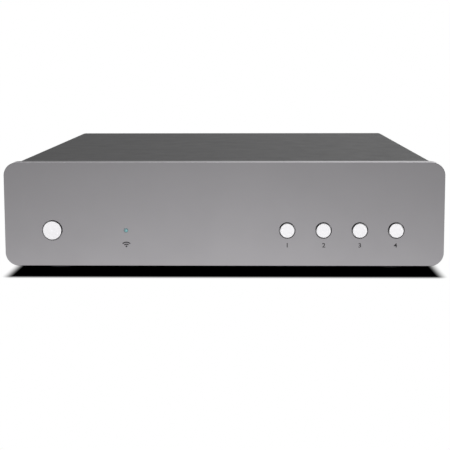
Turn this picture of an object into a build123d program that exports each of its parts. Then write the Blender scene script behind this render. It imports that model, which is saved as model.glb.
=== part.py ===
"""Compact network music streamer: a flat steel case behind a thick aluminium front panel.

Millimetres, +Z up. The front panel faces -Y and the sockets face +Y. The origin is on the floor,
under the middle of the whole object. Each named piece is written to parts/NAME.step.
"""

import math
import os

from build123d import *

# Whole object: button faces to socket tips, and the height of the case above the floor
overall_depth = 191.0
foot_height = 5.5
socket_proud = 9.0

# Sheet steel shared by the tray, the cover and the rear panel
sheet = 1.0
sheet_gap = 0.2
tray_bend = 4.0
cover_bend = 4.5

# Front panel
panel_width = 215.0
panel_height = 51.2
panel_depth = 6.0
panel_corner = 6.6
panel_bevel = 0.5
panel_land = 3.0
panel_drop = 0.4

# Cover and tray
cover_inset = 3.0
cover_step = 0.35
cover_reveal = 1.0
cover_overhang = 0.6
tray_side_height = 20.0
tray_rear_height = 7.6
tab_width = 16.0
tab_height = 8.0
tab_shares = (-0.62, 0.0, 0.62)
tab_hole_drop = 4.4
low_hole_height = 3.9
low_hole_shares = (-0.92, 0.92)
side_hole_height = 13.0
side_hole_shares = (-0.62, 0.62)

# Ventilation slots in the tray's floor and in the rear panel
floor_slot_length = 24.0
floor_slot_width = 2.4
floor_slot_pitch = 5.4
floor_slot_count = 6
floor_slot_y_shares = (-0.34, 0.34)
floor_slot_x_shares = (-0.5, 0.3)
rear_slot_width = 2.2
rear_slot_pitch = 5.0
rear_slot_count = 7
rear_slot_shares = (-0.3, 0.31)
rear_slot_margin = 6.5

# Fasteners and small round pieces that repeat are drawn with flats instead of a full circle
fastener_sides = 6
can_sides = 10
foot_sides = 18
nut_sides = 6
lead_sides = 4

# Screws
screw_diameter = 3.0
screw_head_diameter = 5.5
screw_head_height = 1.9
screw_clearance = 0.2
thread_gap = 0.05
case_screw_length = 5.0
panel_screw_length = 4.6
panel_screw_shares = (-0.9, -0.28, 0.28, 0.9)
panel_screw_drop = 9.0
board_screw_length = 5.0
foot_screw_length = 5.6

# Feet
foot_diameter = 19.0
foot_taper = 1.2
foot_recess_diameter = 8.4
foot_recess_depth = 2.9
foot_x_share = 0.82
foot_y_share = 0.76

# Front buttons
button_proud = 0.8
button_travel = 0.6
button_gap = 0.4
button_bevel = 0.3
button_row_height = 17.7
button_end_inset = 23.4
power_button_diameter = 9.1
preset_button_diameter = 7.2
preset_pitch = 17.7
preset_count = 4
flange_extra = 0.9
flange_thickness = 1.0
pocket_gap = 0.5
stop_gap = 0.1
stem_width = 4.0
stem_rib = 1.4
stem_clearance = 0.5

# Switches under the buttons
switch_side = 6.0
switch_height = 3.5
plunger_diameter = 3.4
plunger_rise = 1.5
plunger_sunk = 1.0
plunger_gap = 0.15

# Control board behind the panel
board_thickness = 1.6
control_gap = 7.0
control_board_height = 22.0
control_board_overlap = 13.0
control_post_shares = (-0.95, 0.0, 0.95)
control_post_rise = 6.5

# Status light
light_offset = 36.1
light_diameter = 2.0
light_gap = 0.05
light_flange_side = 4.4
light_flange_thickness = 1.0
light_air = 0.3
led_width = 3.2
led_height = 2.8
led_depth = 1.9

# Ribbon between the two boards
ribbon_width = 12.0
ribbon_thickness = 0.3
ribbon_bend = 3.0
ribbon_rise = 4.0
ribbon_x_share = 0.17
ribbon_socket_width = 15.0
ribbon_socket_depth = 4.0
ribbon_socket_height = 4.2

# Boards on the tray's floor
standoff_height = 6.0
standoff_across = 5.5
standoff_floor = 0.6
board_margin = 3.0
board_gap = 4.0
board_front_gap = 12.0
board_rear_gap = 1.2
board_hole_inset = 5.0
power_board_width = 54.0

# Streaming module on the main board
stack_height = 4.0
stack_connector_width = 4.0
stack_connector_inset = 3.0
module_width = 46.0
module_depth = 40.0
module_thickness = 1.2
module_x_share = 0.3
module_y_share = 0.42
shield_side = 22.0
shield_height = 2.6
shield_x_share = -0.2
wireless_width = 12.0
wireless_depth = 14.0
wireless_height = 2.2
wireless_x_share = 0.32
sink_side = 20.0
sink_base = 2.0
sink_height = 10.0
sink_fin = 1.1
sink_fin_count = 7

# Audio parts on the main board
converter_side = 9.0
converter_height = 1.4
converter_share = (0.62, 0.42)
amplifier_width = 5.0
amplifier_depth = 6.0
amplifier_height = 1.7
amplifier_x_shares = (0.74, 0.86)
amplifier_y_shares = (0.35, 0.55)
audio_capacitor_diameter = 6.3
audio_capacitor_height = 11.0
audio_capacitor_x_shares = (0.68, 0.8, 0.92)
audio_capacitor_y_shares = (0.17, 0.7)
relay_width = 10.0
relay_depth = 7.4
relay_height = 10.0
relay_shares = (0.58, 0.57)

# Network socket
network_width = 16.0
network_height = 13.4
network_depth = 21.0
network_share = 0.1
network_mouth_width = 11.9
network_mouth_height = 8.2
network_mouth_depth = 15.0
network_mouth_rise = 2.6
network_latch_width = 6.2
network_latch_height = 1.7
network_contact_count = 8
network_contact_pitch = 1.02
network_contact_width = 0.5
network_contact_thickness = 0.3
network_contact_length = 8.6
network_contact_angle = 14.0
network_contact_gap = 0.1
socket_nose = 0.8
socket_clearance = 0.3

# Media socket
media_width = 14.4
media_height = 7.0
media_depth = 14.0
media_share = 0.28
media_wall = 0.7
media_back = 2.0
media_tongue_width = 11.2
media_tongue_height = 1.9
media_tongue_setback = 1.2

# Optical socket with its sprung shutter
optical_width = 10.2
optical_height = 10.6
optical_depth = 15.0
optical_share = 0.43
optical_mouth_width = 8.4
optical_mouth_height = 8.6
optical_mouth_depth = 10.5
optical_floor = 0.9
shutter_thickness = 0.8
shutter_gap = 0.2
shutter_setback = 0.6
shutter_barrel = 1.2
shutter_pin_length = 0.5
shutter_pin_diameter = 0.9
pin_gap = 0.05
emitter_diameter = 2.6
emitter_setback = 1.0

# Phono sockets: the digital one and the left and right pair
phono_pitch = 14.0
phono_digital_share = 0.58
phono_pair_share = 0.82
phono_axis_height = 9.6
phono_housing_width = 12.0
phono_housing_height = 15.6
phono_housing_depth = 12.0
phono_sleeve_diameter = 8.3
phono_sleeve_wall = 0.6
phono_insert_setback = 0.4
phono_contact_diameter = 3.3
phono_contact_depth = 8.0

# Aerial sockets
aerial_share = 0.88
aerial_drop = 16.0
aerial_diameter = 6.3
aerial_wall = 0.8
aerial_cup_depth = 3.0
aerial_pin_diameter = 1.3
aerial_inner_length = 5.0
aerial_hex_across = 8.0
aerial_nut_thickness = 2.0
aerial_lead_diameter = 1.3
aerial_lead_bend = 5.0
aerial_lead_margin = 14.0

# Mains inlet
inlet_x_share = 0.3
inlet_width = 24.0
inlet_height = 13.0
inlet_depth = 18.0
inlet_flange = 2.2
inlet_flange_thickness = 1.6
inlet_mouth_width = 16.0
inlet_mouth_height = 9.0
inlet_mouth_depth = 13.0
inlet_pin_diameter = 2.4
inlet_pin_spacing = 8.6
inlet_pin_setback = 2.0

# Mains side parts on the power board, placed as shares of its width and depth
transformer_width = 25.0
transformer_depth = 12.0
transformer_height = 20.0
transformer_limb = 6.0
transformer_yoke = 3.6
winding_margin = 0.6
winding_bulge = 4.4
winding_round = 2.0
transformer_shares = (0.4, 0.5)
bulk_capacitor_diameter = 16.0
bulk_capacitor_height = 21.0
bulk_capacitor_shares = (0.26, 0.74)
output_capacitor_diameter = 10.0
output_capacitor_height = 16.0
output_capacitor_x_shares = (0.2, 0.46, 0.72)
output_capacitor_y_share = 0.24
choke_diameter = 17.0
choke_bore = 7.0
choke_height = 8.0
choke_shares = (0.78, 0.7)
fuse_diameter = 5.0
fuse_length = 20.0
fuse_cap_length = 5.0
fuse_cap_wall = 0.2
fuse_shares = (0.86, 0.42)

# Low-voltage harness between the boards
harness_thickness = 1.3
harness_width = 8.0
harness_bend = 2.5
harness_rise = 5.0
harness_y_share = 0.14
harness_socket_width = 5.6
harness_socket_margin = 1.2
harness_socket_height = 6.0
harness_socket_inset = 1.5

# Cuts run this far past what they cut
overrun = 1.0

# Planes worked out from the sizes above
front_y = -overall_depth / 2
panel_face_y = front_y + button_proud
panel_back_y = panel_face_y + panel_depth
pocket_floor_y = panel_face_y + panel_land
wall_back_y = panel_back_y + sheet
control_front_y = wall_back_y + control_gap
control_back_y = control_front_y + board_thickness
rear_face_y = overall_depth / 2 - socket_proud
rear_inner_y = rear_face_y - sheet
rear_flange_y = rear_inner_y - sheet
case_middle_y = (panel_back_y + rear_face_y) / 2
case_half_depth = (rear_face_y - panel_back_y) / 2

base_bottom_z = foot_height
base_top_z = base_bottom_z + sheet
panel_bottom_z = base_bottom_z - panel_drop
panel_top_z = panel_bottom_z + panel_height
panel_middle_z = (panel_bottom_z + panel_top_z) / 2
cover_top_z = panel_top_z - cover_step
cover_under_z = cover_top_z - sheet
cover_bottom_z = base_bottom_z + tray_bend + cover_reveal
cover_front_y = panel_back_y + sheet_gap
cover_rear_y = rear_face_y + cover_overhang
button_z = panel_bottom_z + button_row_height

cover_half = panel_width / 2 - cover_inset
tray_half = cover_half - sheet - sheet_gap
inner_half = tray_half - sheet

board_bottom_z = base_top_z + standoff_height
board_top_z = board_bottom_z + board_thickness
board_front_y = control_back_y + board_front_gap
board_rear_y = rear_flange_y - board_rear_gap
board_depth = board_rear_y - board_front_y
power_left_x = -inner_half + board_margin
power_right_x = power_left_x + power_board_width
main_left_x = power_right_x + board_gap
main_right_x = inner_half - board_margin
main_width = main_right_x - main_left_x

power_button_x = -panel_width / 2 + button_end_inset
preset_end_x = panel_width / 2 - button_end_inset
light_x = power_button_x + light_offset
switch_front_y = control_front_y - switch_height
stem_end_y = switch_front_y - plunger_rise

aerial_z = cover_under_z - aerial_drop
aerial_x = aerial_share * tray_half
socket_face_y = rear_face_y + socket_nose

MADE = {}


# Shapes used by many pieces


def block(x0, x1, y0, y1, z0, z1):
    """Rectangular block between six planes."""
    middle = Pos((x0 + x1) / 2, (y0 + y1) / 2, (z0 + z1) / 2)
    return middle * Box(x1 - x0, y1 - y0, z1 - z0)


def standing_block(x, y, z0, width, depth, height):
    """Block centred on x and y that stands on the plane z0."""
    return block(x - width / 2, x + width / 2, y - depth / 2, y + depth / 2, z0, z0 + height)


def bar(plane, length, radius, sides, flats):
    """Bar up from a plane: round, or with a number of sides whose corners or flats lie on the radius."""
    if sides:
        return extrude(plane * RegularPolygon(radius, sides, major_radius=not flats), length)
    return extrude(plane * Circle(radius), length)


def rod_x(y, z, x0, x1, radius, sides=0, flats=False):
    """Bar along X."""
    return bar(Plane((x0, y, z), x_dir=(0, 1, 0), z_dir=(1, 0, 0)), x1 - x0, radius, sides, flats)


def rod_y(x, z, y0, y1, radius, sides=0, flats=False):
    """Bar along Y."""
    return bar(Plane((x, y0, z), x_dir=(1, 0, 0), z_dir=(0, 1, 0)), y1 - y0, radius, sides, flats)


def rod_z(x, y, z0, z1, radius, sides=0, flats=False):
    """Bar along Z."""
    return bar(Plane((x, y, z0)), z1 - z0, radius, sides, flats)


def screw_hole_x(y, z, x0, x1, gap):
    """Hole along X for a screw, with a gap round its shank."""
    return rod_x(y, z, x0, x1, screw_diameter / 2 + gap, fastener_sides, True)


def screw_hole_y(x, z, y0, y1, gap):
    """Hole along Y for a screw, with a gap round its shank."""
    return rod_y(x, z, y0, y1, screw_diameter / 2 + gap, fastener_sides, True)


def screw_hole_z(x, y, z0, z1, gap):
    """Hole along Z for a screw, with a gap round its shank."""
    return rod_z(x, y, z0, z1, screw_diameter / 2 + gap, fastener_sides, True)


def square_y(x, z, y0, y1, side):
    """Square bar along Y."""
    return block(x - side / 2, x + side / 2, y0, y1, z - side / 2, z + side / 2)


def rounded_block(half, y0, y1, z0, z1, low_round, high_round):
    """Block centred on x = 0 whose long lower and upper edges are rounded, where a radius is given."""
    body = block(-half, half, y0, y1, z0, z1)
    if high_round:
        body = fillet(body.edges().filter_by(Axis.Y).group_by(Axis.Z)[-1], high_round)
    if low_round:
        body = fillet(body.edges().filter_by(Axis.Y).group_by(Axis.Z)[0], low_round)
    return body


def screw(length):
    """Screw on the Z axis: its head stands on z = 0 and its shank goes down."""
    head = rod_z(0, 0, 0, screw_head_height, screw_head_diameter / 2, fastener_sides)
    return head + rod_z(0, 0, -length, 0, screw_diameter / 2, fastener_sides)


def flat_lead(plane, points, bend, thickness, width):
    """Flat lead: a strip of straight runs joined by arcs, drawn on a plane and given its width."""
    return extrude(plane * trace(FilletPolyline(*points, radius=bend), line_width=thickness), width)


def keep(name, shape):
    """Store a finished piece under its name."""
    MADE[name] = shape


# Places that several pieces share


def buttons():
    """Name, x place and diameter of every front button, from left to right."""
    places = [("power", power_button_x, power_button_diameter)]
    for number in range(preset_count):
        x = preset_end_x - (preset_count - 1 - number) * preset_pitch
        places.append((f"preset_{number + 1}", x, preset_button_diameter))
    return places


def panel_screw_places():
    """x and z of the screws that hold the front panel."""
    z = panel_top_z - panel_screw_drop
    return [(share * tray_half, z) for share in panel_screw_shares]


def control_post_places():
    """x and z of the posts that carry the control board."""
    middle = (power_button_x + preset_end_x) / 2
    half = (preset_end_x - power_button_x) / 2 + control_board_overlap - standoff_across
    return [(middle + share * half, button_z + control_post_rise) for share in control_post_shares]


def board_hole_places():
    """x and y of the screws through the main board and the power board."""
    places = []
    for low_x, high_x in ((main_left_x, main_right_x), (power_left_x, power_right_x)):
        for x in (low_x + board_hole_inset, high_x - board_hole_inset):
            for y in (board_front_y + board_hole_inset, board_rear_y - network_depth - board_hole_inset):
                places.append((x, y))
    return places


def foot_places():
    """x and y of the four feet."""
    x = foot_x_share * tray_half
    y = foot_y_share * case_half_depth
    return [(sx * x, case_middle_y + sy * y) for sx in (-1, 1) for sy in (-1, 1)]


def tab_places():
    """x of the screws along the top of the rear panel."""
    return [share * tray_half for share in tab_shares]


def low_hole_places():
    """x of the screws along the bottom of the rear panel."""
    return [share * tray_half for share in low_hole_shares]


def side_hole_places():
    """y of the screws in each side of the cover."""
    return [case_middle_y + share * case_half_depth for share in side_hole_shares]


def on_main(x_share, y_share):
    """A place on the main board, as shares of its width and depth."""
    return main_left_x + x_share * main_width, board_front_y + y_share * board_depth


def on_power(x_share, y_share):
    """A place on the power board, as shares of its width and depth."""
    return power_left_x + x_share * power_board_width, board_front_y + y_share * board_depth


def phono_places():
    """x of the digital, left and right phono sockets."""
    pair = main_left_x + phono_pair_share * main_width
    digital = main_left_x + phono_digital_share * main_width
    return {"digital": digital, "right": pair + phono_pitch / 2, "left": pair - phono_pitch / 2}


# Case


def make_front_panel():
    """Thick plate with round corners, bright bevel, button holes and pockets in its back."""
    back = Plane((0, panel_back_y, panel_middle_z), x_dir=(1, 0, 0), z_dir=(0, -1, 0))
    plate = extrude(back * RectangleRounded(panel_width, panel_height, panel_corner), panel_depth)
    plate = chamfer(plate.faces().sort_by(Axis.Y)[0].edges(), panel_bevel)
    for name, x, diameter in buttons():
        plate -= rod_y(x, button_z, panel_face_y - overrun, panel_back_y, diameter / 2 + button_gap)
        side = diameter + 2 * flange_extra + 2 * pocket_gap
        plate -= square_y(x, button_z, pocket_floor_y, panel_back_y + overrun, side)
    plate -= rod_y(light_x, button_z, panel_face_y - overrun, panel_back_y, light_diameter / 2 + light_gap)
    side = light_flange_side + 2 * light_gap
    plate -= square_y(light_x, button_z, pocket_floor_y, panel_back_y + overrun, side)
    for x, z in panel_screw_places():
        depth = panel_screw_length - sheet + stop_gap
        plate -= screw_hole_y(x, z, panel_back_y - depth, panel_back_y + overrun, thread_gap)
    keep("front_panel", plate)


def make_panel_screws():
    """Screws from behind the tray's front wall into the panel."""
    place = Rot(-90, 0, 0)
    screws = [Pos(x, wall_back_y, z) * place * screw(panel_screw_length) for x, z in panel_screw_places()]
    keep("panel_screws", Compound(children=screws))


def make_tray():
    """Folded tray: floor, low sides, tall front wall and a low rear flange."""
    side_top = base_bottom_z + tray_side_height
    tray = rounded_block(tray_half, panel_back_y, rear_inner_y, base_bottom_z, side_top, tray_bend, 0)
    tray -= rounded_block(
        inner_half,
        panel_back_y - overrun,
        rear_inner_y + overrun,
        base_top_z,
        side_top + overrun,
        tray_bend - sheet,
        0,
    )
    wall_top = cover_under_z - sheet_gap
    wall_round = cover_bend - sheet - sheet_gap
    tray += rounded_block(
        tray_half, panel_back_y, wall_back_y, base_bottom_z, wall_top, tray_bend, wall_round
    )
    rear_top = base_bottom_z + tray_rear_height
    tray += rounded_block(tray_half, rear_flange_y, rear_inner_y, base_bottom_z, rear_top, tray_bend, 0)
    windows = [(x, stem_width) for name, x, diameter in buttons()] + [(light_x, light_diameter)]
    for x, width in windows:
        side = width + 2 * stem_clearance
        tray -= square_y(x, button_z, panel_back_y - overrun, wall_back_y + overrun, side)
    for x, z in panel_screw_places():
        tray -= screw_hole_y(x, z, panel_back_y - overrun, wall_back_y + overrun, screw_clearance)
    for x, y in foot_places():
        tray -= screw_hole_z(x, y, base_bottom_z - overrun, base_top_z + overrun, thread_gap)
    for x in low_hole_places():
        z = base_bottom_z + low_hole_height
        tray -= screw_hole_y(x, z, rear_flange_y - overrun, rear_inner_y + overrun, thread_gap)
    for y in side_hole_places():
        z = base_bottom_z + side_hole_height
        tray -= screw_hole_x(y, z, -tray_half - overrun, -inner_half + overrun, thread_gap)
        tray -= screw_hole_x(y, z, inner_half - overrun, tray_half + overrun, thread_gap)
    for x_share in floor_slot_x_shares:
        for y_share in floor_slot_y_shares:
            middle_x = x_share * tray_half
            middle_y = case_middle_y + y_share * case_half_depth
            for number in range(floor_slot_count):
                x = middle_x + (number - (floor_slot_count - 1) / 2) * floor_slot_pitch
                tray -= block(
                    x - floor_slot_width / 2,
                    x + floor_slot_width / 2,
                    middle_y - floor_slot_length / 2,
                    middle_y + floor_slot_length / 2,
                    base_bottom_z - overrun,
                    base_top_z + overrun,
                )
    keep("chassis_tray", tray)


def make_cover():
    """Folded cover: top, two sides and three tabs folded down behind the rear panel."""
    cover = rounded_block(
        cover_half, cover_front_y, cover_rear_y, cover_bottom_z, cover_top_z, 0, cover_bend
    )
    cover -= rounded_block(
        cover_half - sheet,
        cover_front_y - overrun,
        cover_rear_y + overrun,
        cover_bottom_z - overrun,
        cover_under_z,
        0,
        cover_bend - sheet,
    )
    for x in tab_places():
        low = cover_under_z - tab_height
        cover += block(x - tab_width / 2, x + tab_width / 2, rear_flange_y, rear_inner_y, low, cover_under_z)
        z = cover_under_z - tab_hole_drop
        cover -= screw_hole_y(x, z, rear_flange_y - overrun, rear_inner_y + overrun, thread_gap)
    for y in side_hole_places():
        z = base_bottom_z + side_hole_height
        cover -= screw_hole_x(y, z, -cover_half - overrun, -tray_half, screw_clearance)
        cover -= screw_hole_x(y, z, tray_half, cover_half + overrun, screw_clearance)
    keep("top_cover", cover)


def make_rear_panel():
    """Rear plate with a cut-out for each socket, screw holes and two rows of vent slots."""
    top = cover_under_z - sheet_gap
    plate = rounded_block(
        tray_half,
        rear_inner_y,
        rear_face_y,
        base_bottom_z,
        top,
        tray_bend,
        cover_bend - sheet - sheet_gap,
    )
    y0, y1 = rear_inner_y - overrun, rear_face_y + overrun

    def cut_out(x, low_z, width, height):
        """Rectangular hole round a socket that stands on a board."""
        gap = socket_clearance
        return block(x - width / 2 - gap, x + width / 2 + gap, y0, y1, low_z - gap, low_z + height + gap)

    plate -= cut_out(main_left_x + network_share * main_width, board_top_z, network_width, network_height)
    plate -= cut_out(main_left_x + media_share * main_width, board_top_z, media_width, media_height)
    plate -= cut_out(main_left_x + optical_share * main_width, board_top_z, optical_width, optical_height)
    plate -= cut_out(inlet_x(), board_top_z, inlet_width, inlet_height)
    for x in phono_places().values():
        z = board_top_z + phono_axis_height
        plate -= rod_y(x, z, y0, y1, phono_sleeve_diameter / 2 + socket_clearance, can_sides, True)
    for x in (-aerial_x, aerial_x):
        plate -= rod_y(x, aerial_z, y0, y1, aerial_diameter / 2 + thread_gap, can_sides, True)
    for x in tab_places():
        plate -= screw_hole_y(x, cover_under_z - tab_hole_drop, y0, y1, screw_clearance)
    for x in low_hole_places():
        plate -= screw_hole_y(x, base_bottom_z + low_hole_height, y0, y1, screw_clearance)
    tallest = max(network_height, optical_height, phono_axis_height + phono_sleeve_diameter / 2)
    low = board_top_z + tallest + rear_slot_margin / 2
    high = cover_under_z - rear_slot_margin
    for share in rear_slot_shares:
        for number in range(rear_slot_count):
            x = share * tray_half + (number - (rear_slot_count - 1) / 2) * rear_slot_pitch
            plate -= block(x - rear_slot_width / 2, x + rear_slot_width / 2, y0, y1, low, high)
    keep("rear_panel", plate)


def make_case_screws():
    """Screws of the cover's sides and of the rear panel."""
    screws = []
    for y in side_hole_places():
        z = base_bottom_z + side_hole_height
        screws.append(Pos(cover_half, y, z) * Rot(0, 90, 0) * screw(case_screw_length))
        screws.append(Pos(-cover_half, y, z) * Rot(0, -90, 0) * screw(case_screw_length))
    for x in tab_places():
        place = Pos(x, rear_face_y, cover_under_z - tab_hole_drop)
        screws.append(place * Rot(-90, 0, 0) * screw(case_screw_length))
    for x in low_hole_places():
        place = Pos(x, rear_face_y, base_bottom_z + low_hole_height)
        screws.append(place * Rot(-90, 0, 0) * screw(case_screw_length))
    keep("case_screws", Compound(children=screws))


def make_feet():
    """Tapered rubber feet with a recess for their screw."""
    feet = []
    for x, y in foot_places():
        low = Plane((x, y, 0)) * RegularPolygon(foot_diameter / 2 - foot_taper, foot_sides)
        high = Plane((x, y, foot_height)) * RegularPolygon(foot_diameter / 2, foot_sides)
        foot = loft([low, high])
        foot -= rod_z(x, y, -overrun, foot_recess_depth, foot_recess_diameter / 2, fastener_sides)
        foot -= screw_hole_z(x, y, -overrun, foot_height + overrun, screw_clearance)
        feet.append(foot)
    keep("rubber_feet", Compound(children=feet))


def make_foot_screws():
    """Screws up through the feet into the tray's floor."""
    screws = []
    for x, y in foot_places():
        screws.append(Pos(x, y, foot_recess_depth) * Rot(180, 0, 0) * screw(foot_screw_length))
    keep("foot_screws", Compound(children=screws))


# Front controls


def make_buttons():
    """Each button is one piece: bevelled face, square flange that can't turn, and cross-shaped stem."""
    for name, x, diameter in buttons():
        flange_front = pocket_floor_y + stop_gap
        flange_back = flange_front + flange_thickness
        face = rod_y(x, button_z, front_y, flange_front, diameter / 2)
        face = chamfer(face.edges().group_by(Axis.Y)[0], button_bevel)
        button = face + square_y(x, button_z, flange_front, flange_back, diameter + 2 * flange_extra)
        wide, thin = stem_width / 2, stem_rib / 2
        button += block(x - wide, x + wide, flange_back, stem_end_y, button_z - thin, button_z + thin)
        button += block(x - thin, x + thin, flange_back, stem_end_y, button_z - wide, button_z + wide)
        number = name.removeprefix("preset_")
        keep("power_button" if name == "power" else f"preset_button_{number}", button)


def make_switches():
    """Push switches on the control board, each with a round well for its plunger."""
    bodies = []
    for name, x, diameter in buttons():
        body = square_y(x, button_z, switch_front_y, control_front_y, switch_side)
        well = switch_front_y + plunger_sunk + button_travel + stop_gap
        radius = plunger_diameter / 2
        body -= rod_y(
            x, button_z, switch_front_y - overrun, well, radius + plunger_gap, fastener_sides, True
        )
        bodies.append(body)
        number = name.removeprefix("preset_")
        plunger = rod_y(x, button_z, stem_end_y, switch_front_y + plunger_sunk, radius, fastener_sides)
        keep("power_switch_plunger" if name == "power" else f"preset_switch_plunger_{number}", plunger)
    keep("tact_switches", Compound(children=bodies))


def make_control_board():
    """Upright board behind the panel that carries the switches and the status light."""
    low_x = power_button_x - control_board_overlap
    high_x = preset_end_x + control_board_overlap
    low_z = button_z - control_board_height / 2
    board = block(low_x, high_x, control_front_y, control_back_y, low_z, low_z + control_board_height)
    for x, z in control_post_places():
        board -= screw_hole_y(x, z, control_front_y - overrun, control_back_y + overrun, screw_clearance)
    keep("control_board", board)


def make_status_light():
    """Clear pipe from the panel's face to the light-emitting diode on the control board."""
    pipe = rod_y(light_x, button_z, panel_face_y, pocket_floor_y, light_diameter / 2)
    flange_back = pocket_floor_y + light_flange_thickness
    pipe += square_y(light_x, button_z, pocket_floor_y, flange_back, light_flange_side)
    pipe_end = control_front_y - led_depth - light_air
    pipe += square_y(light_x, button_z, flange_back, pipe_end, light_diameter)
    keep("status_light_pipe", pipe)
    led = block(
        light_x - led_width / 2,
        light_x + led_width / 2,
        control_front_y - led_depth,
        control_front_y,
        button_z - led_height / 2,
        button_z + led_height / 2,
    )
    keep("status_led", led)


def make_ribbon():
    """Flat ribbon from the back of the control board to the front of the main board."""
    x = main_left_x + ribbon_x_share * main_width
    high_z = button_z + ribbon_rise
    low_z = board_top_z + ribbon_socket_height / 2
    start_y = control_back_y + ribbon_socket_depth
    end_y = board_front_y + ribbon_socket_depth
    middle_y = (start_y + end_y) / 2
    bend = min(ribbon_bend, 0.45 * (middle_y - start_y), 0.45 * (high_z - low_z))
    points = [(start_y, high_z), (middle_y, high_z), (middle_y, low_z), (end_y, low_z)]
    side = Plane((x - ribbon_width / 2, 0, 0), x_dir=(0, 1, 0), z_dir=(1, 0, 0))
    keep("control_ribbon", flat_lead(side, points, bend, ribbon_thickness, ribbon_width))


def harness_x():
    """x of the harness sockets on the power board and on the main board."""
    inset = harness_socket_inset + harness_socket_width / 2
    return power_right_x - inset, main_left_x + inset


def make_board_connectors():
    """Sockets at both ends of the ribbon and of the low-voltage harness."""
    x = main_left_x + ribbon_x_share * main_width
    left, right = x - ribbon_socket_width / 2, x + ribbon_socket_width / 2
    high_z = button_z + ribbon_rise
    half = ribbon_socket_height / 2
    upper = block(left, right, control_back_y, control_back_y + ribbon_socket_depth, high_z - half, high_z + half)
    lower_y = board_front_y + ribbon_socket_depth
    lower = block(left, right, lower_y, lower_y + ribbon_socket_depth, board_top_z, board_top_z + ribbon_socket_height)
    middle = board_front_y + harness_y_share * board_depth
    length = harness_width + 2 * harness_socket_margin
    ends = [
        standing_block(x_end, middle, board_top_z, harness_socket_width, length, harness_socket_height)
        for x_end in harness_x()
    ]
    keep("board_connectors", Compound(children=[upper, lower, *ends]))


def make_harness():
    """Flat low-voltage lead from the power board over the gap to the main board."""
    start_x, end_x = harness_x()
    foot_z = board_top_z + harness_socket_height
    top_z = foot_z + harness_rise
    bend = min(harness_bend, 0.45 * harness_rise, 0.45 * (end_x - start_x))
    points = [(start_x, foot_z), (start_x, top_z), (end_x, top_z), (end_x, foot_z)]
    far_y = board_front_y + harness_y_share * board_depth + harness_width / 2
    across = Plane((0, far_y, 0), x_dir=(1, 0, 0), z_dir=(0, -1, 0))
    keep("power_harness", flat_lead(across, points, bend, harness_thickness, harness_width))


# Boards in the tray


def make_boards():
    """Main board and power board, and the hexagonal posts of all three boards with their screws."""
    main = block(main_left_x, main_right_x, board_front_y, board_rear_y, board_bottom_z, board_top_z)
    power = block(power_left_x, power_right_x, board_front_y, board_rear_y, board_bottom_z, board_top_z)
    standoffs, screws = [], []
    for x, y in board_hole_places():
        hole = screw_hole_z(x, y, board_bottom_z - overrun, board_top_z + overrun, screw_clearance)
        main -= hole
        power -= hole
        post = rod_z(x, y, base_top_z, board_bottom_z, standoff_across / 2, nut_sides, True)
        post -= screw_hole_z(x, y, base_top_z + standoff_floor, board_bottom_z + overrun, thread_gap)
        standoffs.append(post)
        screws.append(Pos(x, y, board_top_z) * screw(board_screw_length))
    for x, z in control_post_places():
        post = rod_y(x, z, wall_back_y, control_front_y, standoff_across / 2, nut_sides, True)
        post -= screw_hole_y(x, z, wall_back_y + standoff_floor, control_front_y + overrun, thread_gap)
        standoffs.append(post)
        screws.append(Pos(x, control_back_y, z) * Rot(-90, 0, 0) * screw(board_screw_length))
    keep("main_board", main)
    keep("power_board", power)
    keep("board_standoffs", Compound(children=standoffs))
    keep("board_screws", Compound(children=screws))


def module_place():
    """Centre of the streaming module."""
    return on_main(module_x_share, module_y_share)


def make_streaming_module():
    """Daughter board on two long connectors, with its shielded processor and its radio."""
    x, y = module_place()
    low_z = board_top_z + stack_height
    top_z = low_z + module_thickness
    keep("streaming_board", standing_block(x, y, low_z, module_width, module_depth, module_thickness))
    offset = module_depth / 2 - stack_connector_inset - stack_connector_width / 2
    length = module_width - 2 * stack_connector_inset
    connectors = [
        standing_block(x, y + side * offset, board_top_z, length, stack_connector_width, stack_height)
        for side in (-1, 1)
    ]
    keep("stacking_connectors", Compound(children=connectors))
    shield_x = x + shield_x_share * module_width
    keep("processor_shield", standing_block(shield_x, y, top_z, shield_side, shield_side, shield_height))
    sink_z = top_z + shield_height
    sink = standing_block(shield_x, y, sink_z, sink_side, sink_side, sink_height)
    gap = (sink_side - sink_fin_count * sink_fin) / (sink_fin_count - 1)
    for number in range(sink_fin_count - 1):
        left = shield_x - sink_side / 2 + sink_fin + number * (sink_fin + gap)
        sink -= block(
            left, left + gap, y - sink_side, y + sink_side, sink_z + sink_base, sink_z + sink_height + overrun
        )
    keep("processor_heat_sink", sink)
    radio_x = x + wireless_x_share * module_width
    radio = standing_block(radio_x, y, top_z, wireless_width, wireless_depth, wireless_height)
    keep("wireless_module", radio)


def make_audio_parts():
    """Converter, amplifier chips, electrolytic capacitors and the muting relays."""
    x, y = on_main(*converter_share)
    chips = [standing_block(x, y, board_top_z, converter_side, converter_side, converter_height)]
    for x_share in amplifier_x_shares:
        for y_share in amplifier_y_shares:
            x, y = on_main(x_share, y_share)
            chips.append(
                standing_block(x, y, board_top_z, amplifier_width, amplifier_depth, amplifier_height)
            )
    keep("audio_chips", Compound(children=chips))
    cans = []
    for x_share in audio_capacitor_x_shares:
        for y_share in audio_capacitor_y_shares:
            x, y = on_main(x_share, y_share)
            top = board_top_z + audio_capacitor_height
            cans.append(rod_z(x, y, board_top_z, top, audio_capacitor_diameter / 2, can_sides))
    keep("audio_capacitors", Compound(children=cans))
    x, y = on_main(*relay_shares)
    keep("muting_relay", standing_block(x, y, board_top_z, relay_width, relay_depth, relay_height))


# Rear sockets


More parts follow.
